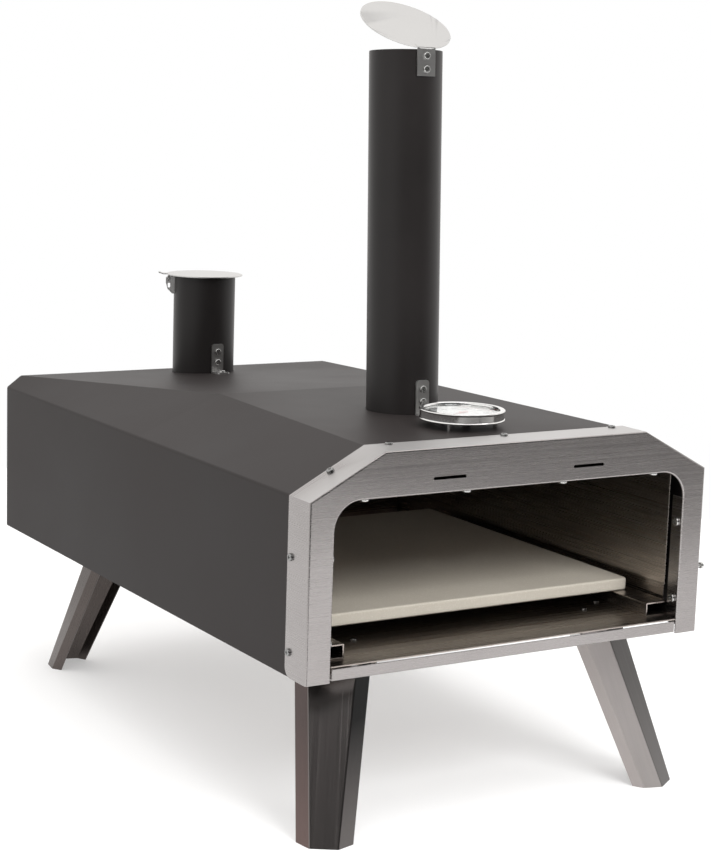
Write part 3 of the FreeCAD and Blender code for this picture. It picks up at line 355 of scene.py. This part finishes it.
FINISHES = {
    "body_paint": matt_paint(
        "body_paint", (0.018, 0.0152, 0.0148), (0.026, 0.0222, 0.0215),
        rough=0.50, grain_depth=0.018, gloss=0.13,
    ),
    "pipe_paint": matt_paint(
        "pipe_paint", (0.011, 0.0098, 0.0096), (0.017, 0.0148, 0.0145),
        rough=0.38, grain_depth=0.008, gloss=0.2,
    ),
    # The frame's level faces get painted light: a brighter colour than its upright faces.
    "frame_steel": brushed_steel(
        "frame_steel", (0.275, 0.258, 0.253), (0.335, 0.317, 0.312),
        rough=0.25, streak=0.30, depth=0.002, painted_level_light=(0.54, 0.53, 0.525),
    ),
    "lining_steel": brushed_steel(
        "lining_steel", (0.38, 0.35, 0.325), (0.50, 0.46, 0.43),
        rough=0.27, stain=heat_stain,
    ),
    "cap_steel": brushed_steel(
        "cap_steel", (0.49, 0.485, 0.48), (0.57, 0.565, 0.555),
        rough=0.36, depth=0.005,
    ),
    "dial_steel": polished_steel("dial_steel", (0.62, 0.62, 0.61), (0.78, 0.78, 0.77), rough=0.14),
    "dial_enamel": enamel_finish("dial_enamel", (0.74, 0.74, 0.72), (0.80, 0.80, 0.78)),
    "dial_ink": enamel_finish("dial_ink", (0.02, 0.02, 0.02), (0.04, 0.04, 0.04), rough=0.5),
    "pointer_paint": enamel_finish("pointer_paint", (0.36, 0.03, 0.02), (0.48, 0.05, 0.03)),
    "dial_glass": glass_finish("dial_glass"),
    "burner_steel": brushed_steel("burner_steel", (0.44, 0.42, 0.40), (0.56, 0.54, 0.52), rough=0.30),
    "grip_wood": wood_finish("grip_wood"),
    "stone": stone_finish("stone"),
    "fastener_steel": polished_steel("fastener_steel", (0.44, 0.44, 0.43), (0.58, 0.58, 0.57), rough=0.24),
    "dull_screw": polished_steel("dull_screw", (0.20, 0.20, 0.20), (0.30, 0.30, 0.295), rough=0.26),
}
DULL_SCREWS = ("frame_screws", "floor_screws", "rail_screws")

for name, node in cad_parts.items():
    for index, material in enumerate(node.data.materials):
        finish_name = "dull_screw" if name in DULL_SCREWS else material.name.split(".")[0]
        node.material_slots[index].material = FINISHES[finish_name]


# ---------------------------------------------------------------- mesh helpers
def add_piece(name, mesh, finish, body, replaced=(), smooth_angle=35.0):
    """Put a mesh in the scene as a piece of the oven that rides on a body."""
    piece = bpy.data.objects.new(name, mesh)
    bpy.context.scene.collection.objects.link(piece)
    mesh.materials.clear()
    mesh.materials.append(FINISHES[finish])
    mesh.polygons.foreach_set("use_smooth", [True] * len(mesh.polygons))
    mesh.set_sharp_from_angle(angle=math.radians(smooth_angle))
    weighted = piece.modifiers.new("weighted", "WEIGHTED_NORMAL")
    weighted.keep_sharp = True
    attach(piece, body)
    if replaced:
        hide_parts(*replaced)
    return piece


def mesh_from(name, points, faces):
    mesh = bpy.data.meshes.new(name)
    mesh.from_pydata([tuple(point) for point in points], [], faces)
    tidy = bmesh.new()
    tidy.from_mesh(mesh)
    bmesh.ops.remove_doubles(tidy, verts=tidy.verts, dist=1e-6)
    bmesh.ops.recalc_face_normals(tidy, faces=tidy.faces)
    tidy.to_mesh(mesh)
    tidy.free()
    return mesh


def grid_faces(rows, columns, closed_rows=False, closed_columns=False):
    """Quads of a grid of points stored row by row."""
    faces = []
    for i in range(rows if closed_rows else rows - 1):
        for j in range(columns if closed_columns else columns - 1):
            a, b = i, (i + 1) % rows
            c, d = j, (j + 1) % columns
            faces.append((a * columns + c, a * columns + d, b * columns + d, b * columns + c))
    return faces


def round_corners(points, radius, steps=5):
    """Open outline in two dimensions with every corner turned into an arc."""
    rounded = [Vector(points[0])]
    for before, point, after in zip(points, points[1:], points[2:]):
        here = Vector(point)
        back = (Vector(before) - here).normalized()
        ahead = (Vector(after) - here).normalized()
        half = back.angle(ahead) / 2
        reach = radius / math.tan(half)
        centre = here + (back + ahead).normalized() * (radius / math.sin(half))
        start = here + back * reach - centre
        turn = start.angle_signed(here + ahead * reach - centre)
        for step in range(steps + 1):
            rounded.append(centre + Matrix.Rotation(-turn * step / steps, 2) @ start)
    return rounded + [Vector(points[-1])]


def offset_line(points, distance):
    """Open outline in two dimensions, moved sideways by a distance (to the left of its run)."""
    moved = []
    last = len(points) - 1
    for index, point in enumerate(points):
        before = points[max(index - 1, 0)]
        after = points[min(index + 1, last)]
        first = (point - before).normalized() if index else (after - point).normalized()
        second = (after - point).normalized() if index < last else first
        normal = Vector((-(first + second).y, (first + second).x)).normalized()
        square = max(0.3, normal.dot(Vector((-first.y, first.x))))
        moved.append(point + normal * (distance / square))
    return moved


def lathe(name, profile, finish, body, origin, axis=Vector((0, 0, 1)), steps=128, replaced=()):
    """Turned piece: profile is a closed outline of (radius, height) in mm, on an axis from origin."""
    turn = axis.to_track_quat("Z", "Y").to_matrix()
    points = []
    for step in range(steps):
        angle = math.tau * step / steps
        for radius, height in profile:
            spot = Vector((radius * math.cos(angle), radius * math.sin(angle), height)) * MM
            points.append(origin + turn @ spot)
    faces = grid_faces(steps, len(profile), closed_rows=True, closed_columns=True)
    return add_piece(name, mesh_from(name, points, faces), finish, body, replaced)


def bevel_edges(shape, edges, width, segments=2):
    if edges:
        bmesh.ops.bevel(
            shape, geom=edges, offset=width * MM, offset_type="OFFSET", segments=segments,
            profile=0.5, affect="EDGES", clamp_overlap=True,
        )


def is_corner(edge, degrees=35.0):
    return len(edge.link_faces) == 2 and edge.calc_face_angle(0.0) > math.radians(degrees)


def refined(node, finish, body, edge=0.25, bends=(), keep_small=1.0):
    """The CAD node's own shape with its bends rounded and its sharp edges eased.

    bends holds (test, width, segments): the edges for which test(middle, direction) is true, in
    drawing millimetres, are rounded by that width."""
    shape = bmesh.new()
    shape.from_mesh(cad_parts[node].data)
    bmesh.ops.remove_doubles(shape, verts=shape.verts, dist=2e-6)
    bmesh.ops.dissolve_limit(shape, angle_limit=math.radians(0.6), verts=shape.verts, edges=shape.edges)
    for test, width, segments in bends:
        chosen = [e for e in shape.edges if is_corner(e, 8.0) and test(*edge_place(e))]
        bevel_edges(shape, chosen, width, segments)
    sharp = [e for e in shape.edges if is_corner(e) and e.calc_length() > keep_small * MM]
    bevel_edges(shape, sharp, edge, 2)
    mesh = bpy.data.meshes.new(node + "_shape")
    shape.to_mesh(mesh)
    shape.free()
    return add_piece(node + "_fine", mesh, finish, body, (node,))


def edge_place(edge):
    """Middle of an edge in drawing millimetres, and its direction."""
    first, second = (vertex.co for vertex in edge.verts)
    middle = (first + second) / 2
    spot = Vector((middle.x, middle.y - FRONT_Y, middle.z - BOTTOM_Z)) / MM
    return spot, (second - first).normalized()


def modified(mesh, kind, **settings):
    """Copy of a mesh with one modifier applied."""
    holder = bpy.data.objects.new("holder", mesh)
    bpy.context.scene.collection.objects.link(holder)
    modifier = holder.modifiers.new(kind.lower(), kind)
    for setting, value in settings.items():
        setattr(modifier, setting, value)
    bpy.context.view_layer.update()
    graph = bpy.context.evaluated_depsgraph_get()
    made = bpy.data.meshes.new_from_object(holder.evaluated_get(graph))
    bpy.data.objects.remove(holder)
    return made


def cut_mesh(mesh, cutters):
    """Mesh with closed cutter meshes subtracted from it."""
    for cutter_mesh in cutters:
        cutter = bpy.data.objects.new("cutter", cutter_mesh)
        bpy.context.scene.collection.objects.link(cutter)
        mesh = modified(mesh, "BOOLEAN", operation="DIFFERENCE", solver="EXACT", object=cutter)
        bpy.data.objects.remove(cutter)
    return mesh


def rod_mesh(radius, start, end, steps=96):
    """Closed round bar between two points in metres, radius in mm."""
    axis = (end - start).normalized()
    turn = axis.to_track_quat("Z", "Y").to_matrix()
    points = []
    for spot in (start, end):
        for step in range(steps):
            angle = math.tau * step / steps
            points.append(spot + turn @ Vector((math.cos(angle), math.sin(angle), 0)) * (radius * MM))
    faces = [tuple(range(steps))[::-1], tuple(range(steps, 2 * steps))]
    for step in range(steps):
        after = (step + 1) % steps
        faces.append((step, after, steps + after, steps + step))
    return mesh_from("rod", points, faces)


def block_mesh(low, high):
    """Closed box between two corners in metres."""
    points = [Vector((x, y, z)) for x in (low.x, high.x) for y in (low.y, high.y) for z in (low.z, high.z)]
    faces = [(0, 1, 3, 2), (4, 6, 7, 5), (0, 4, 5, 1), (2, 3, 7, 6), (0, 2, 6, 4), (1, 5, 7, 3)]
    return mesh_from("block", points, faces)


# ---------------------------------------------------------------- outer shell
def shell_section(y, inset):
    """Outline across the oven at one station: x and z of its six corners."""
    if y <= RIDGE_Y:
        share = y / RIDGE_Y
        flat = FRONT_FLAT + (RIDGE_FLAT - FRONT_FLAT) * share
        top = ROOF_HEIGHT
    else:
        share = (y - RIDGE_Y) / (DEPTH - RIDGE_Y)
        flat = RIDGE_FLAT + (REAR_FLAT - RIDGE_FLAT) * share
        top = ROOF_HEIGHT + (REAR_HEIGHT - ROOF_HEIGHT) * share
    half = WIDTH / 2 - inset
    tilt = math.atan2(top - SIDE_HEIGHT, WIDTH / 2 - flat)
    shoulder = SIDE_HEIGHT - inset * math.tan(tilt / 2)
    flat = flat - inset * math.tan(tilt / 2)
    top = top - inset
    return [(-half, 0.0), (-half, shoulder), (-flat, top), (flat, top), (half, shoulder), (half, 0.0)]


def make_shell():
    """Folded sheet: rounded bends, twisted shoulders, rounded rear edges and a closed rear wall."""
    bend, corner = 3.0, 8.0
    stations = [PLATE + (RIDGE_Y - 4 - PLATE) * step / 16 for step in range(17)]
    stations += [RIDGE_Y - 2, RIDGE_Y, RIDGE_Y + 2]
    rear_start = DEPTH - corner
    stations += [RIDGE_Y + 4 + (rear_start - RIDGE_Y - 4) * step / 18 for step in range(19)]
    rings = [(y, SHEET) for y in stations]
    for step in range(1, 9):
        angle = math.pi / 2 * step / 8
        rings.append((rear_start + corner * math.sin(angle), SHEET + corner * (1 - math.cos(angle))))
    points = []
    for y, inset in rings:
        outline = round_corners(shell_section(min(y, DEPTH), inset), bend, 5)
        points += [at(spot.x, y, spot.y) for spot in outline]
    columns = len(points) // len(rings)
    faces = grid_faces(len(rings), columns)
    last = (len(rings) - 1) * columns
    faces.append(tuple(range(last, last + columns)))
    sheet = mesh_from("shell_sheet", points, faces)
    sheet = modified(sheet, "SOLIDIFY", thickness=SHEET * MM, offset=-1.0, use_even_offset=True)
    flue_foot = at(0, FLUE_Y, ROOF_HEIGHT)
    above_roof = ROOF_HEIGHT + 16
    pipe_hole, stem_hole = PIPE_R + 0.4, 3.4
    hatch_half, hatch_low, hatch_high = 60, 13.5, 96
    cutters = [
        rod_mesh(pipe_hole, flue_foot - FLUE_AXIS * 0.05, flue_foot + FLUE_AXIS * 0.05),
        rod_mesh(pipe_hole, at(0, HOPPER_Y, 120), at(0, HOPPER_Y, above_roof)),
        rod_mesh(stem_hole, at(0, DIAL_Y, 170), at(0, DIAL_Y, above_roof), 32),
        block_mesh(at(-hatch_half, DEPTH - 5, hatch_low), at(hatch_half, DEPTH + 5, hatch_high)),
    ]
    mesh = cut_mesh(sheet, cutters)
    return add_piece("shell", mesh, "body_paint", "oven", ("outer_shell",), 28.0)


make_shell()


# ---------------------------------------------------------------- front frame and sheet parts
def on_outline(spot, slack=0.25):
    """True where a drawing point lies on the frame's outer outline."""
    half = WIDTH / 2
    run, rise = half - FRONT_FLAT, ROOF_HEIGHT - SIDE_HEIGHT
    to_chamfer = ((abs(spot.x) - FRONT_FLAT) * rise + (spot.z - ROOF_HEIGHT) * run) / math.hypot(run, rise)
    on_side = abs(abs(spot.x) - half) < slack and spot.z < SIDE_HEIGHT
    on_top = abs(spot.z - ROOF_HEIGHT) < slack and abs(spot.x) < FRONT_FLAT
    on_chamfer = abs(to_chamfer) < slack and FRONT_FLAT - 1 < abs(spot.x) < half + 1
    return on_side or on_top or on_chamfer


def outer_bend(spot, direction):
    return abs(spot.y) < 0.1 and abs(direction.y) < 0.1 and on_outline(spot)


def mouth_edge(spot, direction):
    inside = abs(spot.x) < MOUTH_HALF and 0.5 < spot.z < MOUTH_TOP
    return abs(spot.y) < 0.1 and inside and abs(direction.y) < 0.1


def bar_fold(spot, direction):
    return abs(direction.x) > 0.9 and spot.y < 0.1 and spot.z < 2


def rail_fold(spot, direction):
    return abs(direction.y) > 0.9 and spot.z > 25.5


refined("front_frame", "frame_steel", "oven", 0.2,
        [(outer_bend, 1.5, 4), (mouth_edge, 1.5, 4)])
refined("front_bar", "frame_steel", "oven", 0.25, [(bar_fold, 1.1, 4)])
refined("floor_pan", "lining_steel", "oven", 0.3)
for node in ("lining_left", "lining_right", "lining_ceiling", "flame_baffle"):
    refined(node, "lining_steel", "oven", 0.3)
for node in ("stone_rail_left", "stone_rail_right"):
    refined(node, "lining_steel", "oven", 0.2, [(rail_fold, 0.9, 3)])
refined("tray_guides", "lining_steel", "oven", 0.3)
refined("pizza_stone", "stone", "stone", 0.5, keep_small=0.3)


# ---------------------------------------------------------------- legs
LEG_TURN = math.radians(33.0)
LEG_TILT = math.radians(22.5)
LEG_TOP_Z = -2.0
LEG_HEIGHT = GROUND_DROP + LEG_TOP_Z
WEB_FOOT, WEB_TOP = 24.0, 41.0
FACET_FOOT, FACET_TOP = 13.3, 19.5
FACET_SIDE = 11.5
FLANGE = 11.0
FEET = {-1: (178.0, 1.0), 1: (167.0, 586.0)}
LEG_SIDES = {
    "leg_front_left": (-1, -1),
    "leg_front_right": (1, -1),
    "leg_rear_left": (-1, 1),
    "leg_rear_right": (1, 1),
}
LEG_TONE_RISE = 0.095
# Painted reflection and shade: (foot colour, top colour) tones for the legs' faces, standing for what each
# face of the real legs mirrors; they stay the same in any pose or light. The darkest front-left tone is also
# warm in tint.
WARM_DARK_MIRROR_TONE = ((0.129, 0.092, 0.085), (0.066, 0.048, 0.045))
BRIGHT_MIRROR_TONE = ((0.42, 0.385, 0.375), (0.37, 0.34, 0.33))
SHADED = ((0.15, 0.135, 0.13), (0.11, 0.10, 0.095))
DIM_MIRROR_TONE = ((0.27, 0.25, 0.245), (0.23, 0.21, 0.205))
LEG_TONES = {
    "leg_front_left": (
        WARM_DARK_MIRROR_TONE,
        WARM_DARK_MIRROR_TONE,
        ((0.205, 0.188, 0.183), (0.185, 0.17, 0.165)),
        ((0.13, 0.12, 0.117), (0.008, 0.008, 0.008)),
    ),
    "leg_front_right": (
        BRIGHT_MIRROR_TONE,
        ((0.60, 0.56, 0.545), (0.55, 0.51, 0.50)),
        ((0.135, 0.126, 0.123), (0.07, 0.064, 0.062)),
        BRIGHT_MIRROR_TONE,
    ),
    "leg_rear_left": (SHADED, SHADED, SHADED, ((0.125, 0.108, 0.102), (0.09, 0.078, 0.073))),
    "leg_rear_right": (DIM_MIRROR_TONE, DIM_MIRROR_TONE, DIM_MIRROR_TONE, DIM_MIRROR_TONE),
}
LEG_ROUGHNESS = {
    "leg_front_left": 0.22,
    "leg_front_right": 0.46,
    "leg_rear_left": 0.28,
    "leg_rear_right": 0.34,
}


def leg_line(rise):
    """Bent outline of a leg at one height above the table: (outward, across) pairs in mm."""
    share = rise / LEG_HEIGHT
    web = WEB_FOOT + (WEB_TOP - WEB_FOOT) * share
    facet = FACET_FOOT + (FACET_TOP - FACET_FOOT) * share
    side = web / 2 + FACET_SIDE
    half = [(0, web / 2), (-facet, side), (-facet - FLANGE, side)]
    corners = [(out, -across) for out, across in half[::-1]] + half
    outer = round_corners(corners, 2.2, 5)
    return outer + offset_line(outer, PLATE)[::-1]


def make_leg(node, side, end):
    """Bent sheet leg; side is -1 on the left and 1 on the right, end is -1 at the front and 1 at the rear."""
    outward = Vector((side * math.sin(LEG_TURN), end * math.cos(LEG_TURN), 0))
    across = outward.cross(Vector((0, 0, 1)))
    foot_x, foot_y = FEET[end]
    foot = at(side * foot_x, foot_y, -GROUND_DROP)
    up_leg = (Vector((0, 0, 1)) - outward * math.tan(LEG_TILT)).normalized()
    turn = Matrix((across, up_leg.cross(across), up_leg)).transposed()
    FINISHES[node + "_steel"] = leg_steel(node + "_steel", turn, LEG_TONES[node], LEG_ROUGHNESS[node])
    rises = [0.0, 45.0, 90.0, LEG_HEIGHT]
    points = []
    for rise in rises:
        for spot in leg_line(rise):
            out = spot.x - rise * math.tan(LEG_TILT)
            points.append(foot + (Vector((0, 0, rise)) + outward * out + across * spot.y) * MM)
    columns = len(points) // len(rises)
    faces = grid_faces(len(rises), columns, closed_columns=True)
    faces.append(tuple(range(columns)))
    faces.append(tuple(range(len(points) - columns, len(points))))
    mesh = mesh_from(node + "_sheet", points, faces)
    shape = bmesh.new()
    shape.from_mesh(mesh)
    bevel_edges(shape, [e for e in shape.edges if is_corner(e, 50.0)], 0.25)
    shape.to_mesh(mesh)
    shape.free()
    body = node[len("leg_"):] + "_leg"
    add_piece(node + "_bent", mesh, node + "_steel", body, (node,), 30.0)


for node, (side, end) in LEG_SIDES.items():
    make_leg(node, side, end)
    place = node[len("leg_"):]
    refined("leg_bracket_" + place, "lining_steel", "oven", 0.25)


# ---------------------------------------------------------------- flue and hopper
def tube_profile(radius, wall, low, high, ease=0.5):
    """Closed outline of a pipe's wall with eased ends."""
    inner = radius - wall
    return [
        (inner, low + ease), (inner + ease * 0.5, low), (radius - ease * 0.5, low), (radius, low + ease),
        (radius, high - ease), (radius - ease * 0.3, high - ease * 0.3), (radius - ease, high),
        (inner + ease * 0.3, high - ease * 0.1), (inner, high - ease),
    ]


flue_wall = tube_profile(PIPE_R, PIPE_WALL, -44.0, FLUE_TOP - ROOF_HEIGHT)
lathe("flue_tube", flue_wall, "pipe_paint", "oven",
      at(0, FLUE_Y, ROOF_HEIGHT), FLUE_AXIS, 192, ("flue_pipe",))
hopper_wall = tube_profile(PIPE_R, PIPE_WALL, 84.0, HOPPER_TOP)
lathe("hopper_tube", hopper_wall, "pipe_paint", "oven",
      at(0, HOPPER_Y, 0), steps=192, replaced=("hopper_pipe",))


def cap_bend(spot, direction):
    return abs(direction.x) > 0.9 and abs(spot.y - CAP_BEND_Y) < 4 and abs(spot.z - CAP_BEND_Z) < 4


refined("flue_cap", "cap_steel", "oven", 0.25, [(cap_bend, 1.0, 3)])
refined("hopper_lid", "cap_steel", "lid", 0.25)
refined("lid_hinge_ears", "cap_steel", "oven", 0.25, keep_small=0.5)


def bracket_bend(spot, direction):
    return abs(direction.x) > 0.9 and spot.y > 0


for node in ("flue_brackets", "hopper_brackets"):
    refined(node, "cap_steel", "oven", 0.25, [(bracket_bend, 0.6, 3)], keep_small=0.5)


# ---------------------------------------------------------------- thermometer
def arc_points(centre, radius, start, end, steps):
    """Points of an arc in a (radius, height) profile; angles in degrees."""
    made = []
    for step in range(steps + 1):
        angle = math.radians(start + (end - start) * step / steps)
        made.append((centre[0] + radius * math.cos(angle), centre[1] + radius * math.sin(angle)))
    return made


def bezel_profile():
    """Rolled foot, straight wall, rounded top rim and a step down to the glass."""
    wall = DIAL_R - 0.7
    outline = [(DIAL_R - 1.6, DIAL_BOTTOM)]
    outline += arc_points((DIAL_R - 0.75, DIAL_BOTTOM + 0.75), 0.75, -90, 60, 8)
    outline += [(wall, DIAL_BOTTOM + 1.7), (wall, DIAL_TOP - 2.4)]
    outline += arc_points((DIAL_R - 1.0, DIAL_TOP - 1.0), 1.0, -35, 90, 9)
    outline += arc_points((DIAL_WINDOW_R + 1.3, DIAL_TOP - 1.0), 1.0, 90, 165, 5)
    outline += [(DIAL_WINDOW_R + 0.1, DIAL_TOP - 1.6), (DIAL_R - 1.6, DIAL_TOP - 1.6)]
    return outline


SCALE_START = 225.0
SCALE_SWEEP = 270.0
TICK_GAPS = 45
BAND_LINKS = 24
NUMBERS = 10
NUMBER_R = 21.3

lathe("dial_rim", bezel_profile(), "dial_steel", "oven", at(0, DIAL_Y, 0), steps=192,
      replaced=("dial_bezel",))
refined("dial_pointer", "pointer_paint", "pointer", 0.08, keep_small=0.6)


def flat_mark(corners, thick=0.05):
    """Thin printed mark: closed prism over a flat outline on the dial's face."""
    count = len(corners)
    points = [Vector((x, y, DIAL_FACE + rise)) for rise in (0, thick) for x, y in corners]
    faces = [tuple(range(count))[::-1], tuple(range(count, 2 * count))]
    for index in range(count):
        after = (index + 1) % count
        faces.append((index, after, count + after, count + index))
    return points, faces


def add_marks(name, outlines, finish):
    """Printed marks on the dial, each a closed outline in mm around its middle."""
    points, faces = [], []
    for corners in outlines:
        new_points, new_faces = flat_mark(corners)
        start = len(points)
        points += [at(spot.x, DIAL_Y + spot.y, spot.z) for spot in new_points]
        faces += [tuple(start + corner for corner in face) for face in new_faces]
    add_piece("dial_" + name, mesh_from(name, points, faces), finish, "oven")


def tick_outline(step):
    """Short bar across the scale, longer and thicker at every fifth step."""
    angle = math.radians(SCALE_START - SCALE_SWEEP * step / TICK_GAPS)
    inner, wide = (25.5, 0.45) if step % 5 == 0 else (27.2, 0.22)
    way = Vector((math.cos(angle), math.sin(angle)))
    side = Vector((-way.y, way.x)) * wide
    return [way * inner - side, way * 30.0 - side, way * 30.0 + side, way * inner + side]


def band_outline(step):
    """One link of the coloured band for the working heat."""
    first, second = (math.radians(60 - 65 * (step + edge) / BAND_LINKS) for edge in (0, 1))
    spots = ((30.4, first), (31.8, first), (31.8, second), (30.4, second))
    return [(radius * math.cos(angle), radius * math.sin(angle)) for radius, angle in spots]


def add_number(step):
    """Printed number beside a long tick, from 50 to 500."""
    angle = math.radians(SCALE_START - SCALE_SWEEP * step / (NUMBERS - 1))
    text = bpy.data.curves.new("number", "FONT")
    text.body = str(50 + 50 * step)
    text.size = 5.0 * MM
    text.align_x = "CENTER"
    text.align_y = "CENTER"
    text.extrude = 0.03 * MM
    holder = bpy.data.objects.new("number", text)
    bpy.context.scene.collection.objects.link(holder)
    bpy.context.view_layer.update()
    mesh = bpy.data.meshes.new_from_object(holder)
    bpy.data.objects.remove(holder)
    spot = at(NUMBER_R * math.cos(angle), DIAL_Y + NUMBER_R * math.sin(angle), DIAL_FACE + 0.02)
    mesh.transform(Matrix.Translation(spot))
    add_piece(f"dial_number_{step}", mesh, "dial_ink", "oven")


add_marks("ticks", [tick_outline(step) for step in range(TICK_GAPS + 1)], "dial_ink")
add_marks("band", [band_outline(step) for step in range(BAND_LINKS)], "pointer_paint")
for number in range(NUMBERS):
    add_number(number)


# ---------------------------------------------------------------- burner
refined("burner_tray", "burner_steel", "burner", 0.35)
refined("fuel_basket", "burner_steel", "burner", 0.2)


def grip_profile():
    """Turned wooden grip: a gentle barrel with two grooves, around a bore."""
    half = 24.8
    outline = [(3.6, -half), (6.8, -half)]
    for step in range(41):
        place = -half + 1.2 + (2 * half - 2.4) * step / 40
        swell = 7.6 + 0.85 * math.cos(math.pi / 2 * place / half) ** 0.7
        groove = sum(0.7 * math.exp(-(((place - spot) / 0.7) ** 2)) for spot in (-18.0, 18.0))
        outline.append((swell - groove, place))
    return outline + [(6.8, half), (3.6, half)]


lathe("grip_turned", grip_profile(), "grip_wood", "burner",
      at(0, GRIP_Y, GRIP_Z), Vector((1, 0, 0)), 96, ("burner_grip",))


# ---------------------------------------------------------------- floor, light and camera
def make_floor():
    """Round sheet of white paper under the oven."""
    steps = 96
    reach = 1.6
    middle_x, middle_y = -0.45, -0.2
    corners = []
    for step in range(steps):
        angle = math.tau * step / steps
        corners.append((reach * math.cos(angle) + middle_x, reach * math.sin(angle) + middle_y, 0))
    mesh = bpy.data.meshes.new("floor")
    mesh.from_pydata(corners, [], [tuple(range(steps))])
    floor = bpy.data.objects.new("floor", mesh)
    bpy.context.scene.collection.objects.link(floor)
    white = (1.0, 1.0, 1.0, 1.0)
    finish = Finish("floor_paper", Specular_IOR_Level=0.0, Emission_Color=white, Emission_Strength=0.38)
    cloud = finish.noise((2, 2, 2))
    finish.colour(finish.shades(cloud, (0.58, 0.58, 0.58), (0.60, 0.60, 0.60)))
    finish.roughness(finish.spread(cloud, 0.9, 0.95))
    mesh.materials.append(finish.material)


def make_studio():
    """Plain white to the eye; the metal sees a white sweep, brighter overhead, with a dim room in front."""
    world = bpy.data.worlds.new("studio")
    bpy.context.scene.world = world
    world.use_nodes = True
    tree = world.node_tree
    tree.nodes.clear()

    def node(kind, **sockets):
        made = tree.nodes.new(kind)
        for socket, value in sockets.items():
            made.inputs[socket.replace("_", " ")].default_value = value
        return made

    output = node("ShaderNodeOutputWorld")
    seen = node("ShaderNodeBackground", Color=(1.0, 1.0, 1.0, 1.0), Strength=1.0)
    around = node("ShaderNodeBackground", Color=(1.0, 0.985, 0.97, 1.0))
    choose = node("ShaderNodeMixShader")
    tree.links.new(node("ShaderNodeLightPath").outputs["Is Camera Ray"], choose.inputs["Fac"])
    tree.links.new(around.outputs["Background"], choose.inputs[1])
    tree.links.new(seen.outputs["Background"], choose.inputs[2])
    tree.links.new(choose.outputs["Shader"], output.inputs["Surface"])
    direction = node("ShaderNodeTexCoord").outputs["Generated"]
    split = node("ShaderNodeSeparateXYZ")
    tree.links.new(direction, split.inputs["Vector"])
    rise = node("ShaderNodeMapRange", From_Min=0.0, From_Max=1.0, To_Min=1.15, To_Max=1.40)
    tree.links.new(split.outputs["Z"], rise.inputs["Value"])
    toward = node("ShaderNodeVectorMath")
    toward.operation = "DOT_PRODUCT"
    toward.inputs[1].default_value = Vector((0.0, -0.97, 0.22)).normalized()
    tree.links.new(direction, toward.inputs[0])
    room = node("ShaderNodeMapRange", From_Min=0.30, From_Max=0.86, To_Min=1.0, To_Max=0.07)
    room.interpolation_type = "SMOOTHSTEP"
    tree.links.new(toward.outputs["Value"], room.inputs["Value"])
    strength = node("ShaderNodeMath")
    strength.operation = "MULTIPLY"
    tree.links.new(rise.outputs["Result"], strength.inputs[0])
    tree.links.new(room.outputs["Result"], strength.inputs[1])
    tree.links.new(strength.outputs["Value"], around.inputs["Strength"])


def make_light(name, place, target, size, watts, shows=False):
    """Soft panel that lights the oven; unless it shows, the metal doesn't mirror it.

    place and target are in metres, size is (width, height) in metres."""
    light = bpy.data.lights.new(name, "AREA")
    light.shape = "RECTANGLE"
    light.size, light.size_y = size
    light.energy = watts
    holder = bpy.data.objects.new(name, light)
    bpy.context.scene.collection.objects.link(holder)
    holder.visible_glossy = shows
    holder.location = place
    holder.rotation_euler = (Vector(target) - Vector(place)).to_track_quat("-Z", "Y").to_euler()


def make_camera():
    """Long lens from the front left, a little above the roof."""
    azimuth, elevation, roll = (math.radians(value) for value in (31.316, 9.578, 1.822))
    place = Vector((-0.9600, -1.6531, 0.6026))
    back = Vector((
        -math.sin(azimuth) * math.cos(elevation),
        -math.cos(azimuth) * math.cos(elevation),
        math.sin(elevation),
    ))
    right = (-back).cross(Vector((0, 0, 1))).normalized()
    up = right.cross(-back)
    rolled_right = right * math.cos(roll) + up * math.sin(roll)
    rolled_up = up * math.cos(roll) - right * math.sin(roll)
    camera = bpy.data.cameras.new("camera")
    camera.lens = 83.9
    camera.sensor_width = 36.0
    camera.shift_x = 0.0033
    camera.shift_y = 0.0012
    camera.clip_end = 100.0
    holder = bpy.data.objects.new("camera", camera)
    bpy.context.scene.collection.objects.link(holder)
    turn = Matrix((rolled_right, rolled_up, back)).transposed()
    holder.matrix_world = Matrix.Translation(place) @ turn.to_4x4()
    bpy.context.scene.camera = holder


make_floor()
make_studio()
make_light("overhead", (0.0, 0.3, 2.6), (0, 0, 0.2), (2.6, 2.6), 24)
make_light("front", (0.15, -1.75, 1.38), (0, -0.2, 0.18), (1.1, 0.7), 26)
make_light("fill", (-0.1, -2.2, 0.55), (0, -0.1, 0.2), (1.2, 0.6), 5)
make_light("strip", (0.25, -1.0, 2.0), (0, -0.25, 0.2), (2.4, 0.45), 10, True)
make_light("corner", (-1.4, -1.6, 1.7), (-0.2, -0.35, 0.3), (1.2, 0.6), 6, True)
make_camera()
bpy.context.scene.view_settings.view_transform = "Standard"

bpy.context.view_layer.update()
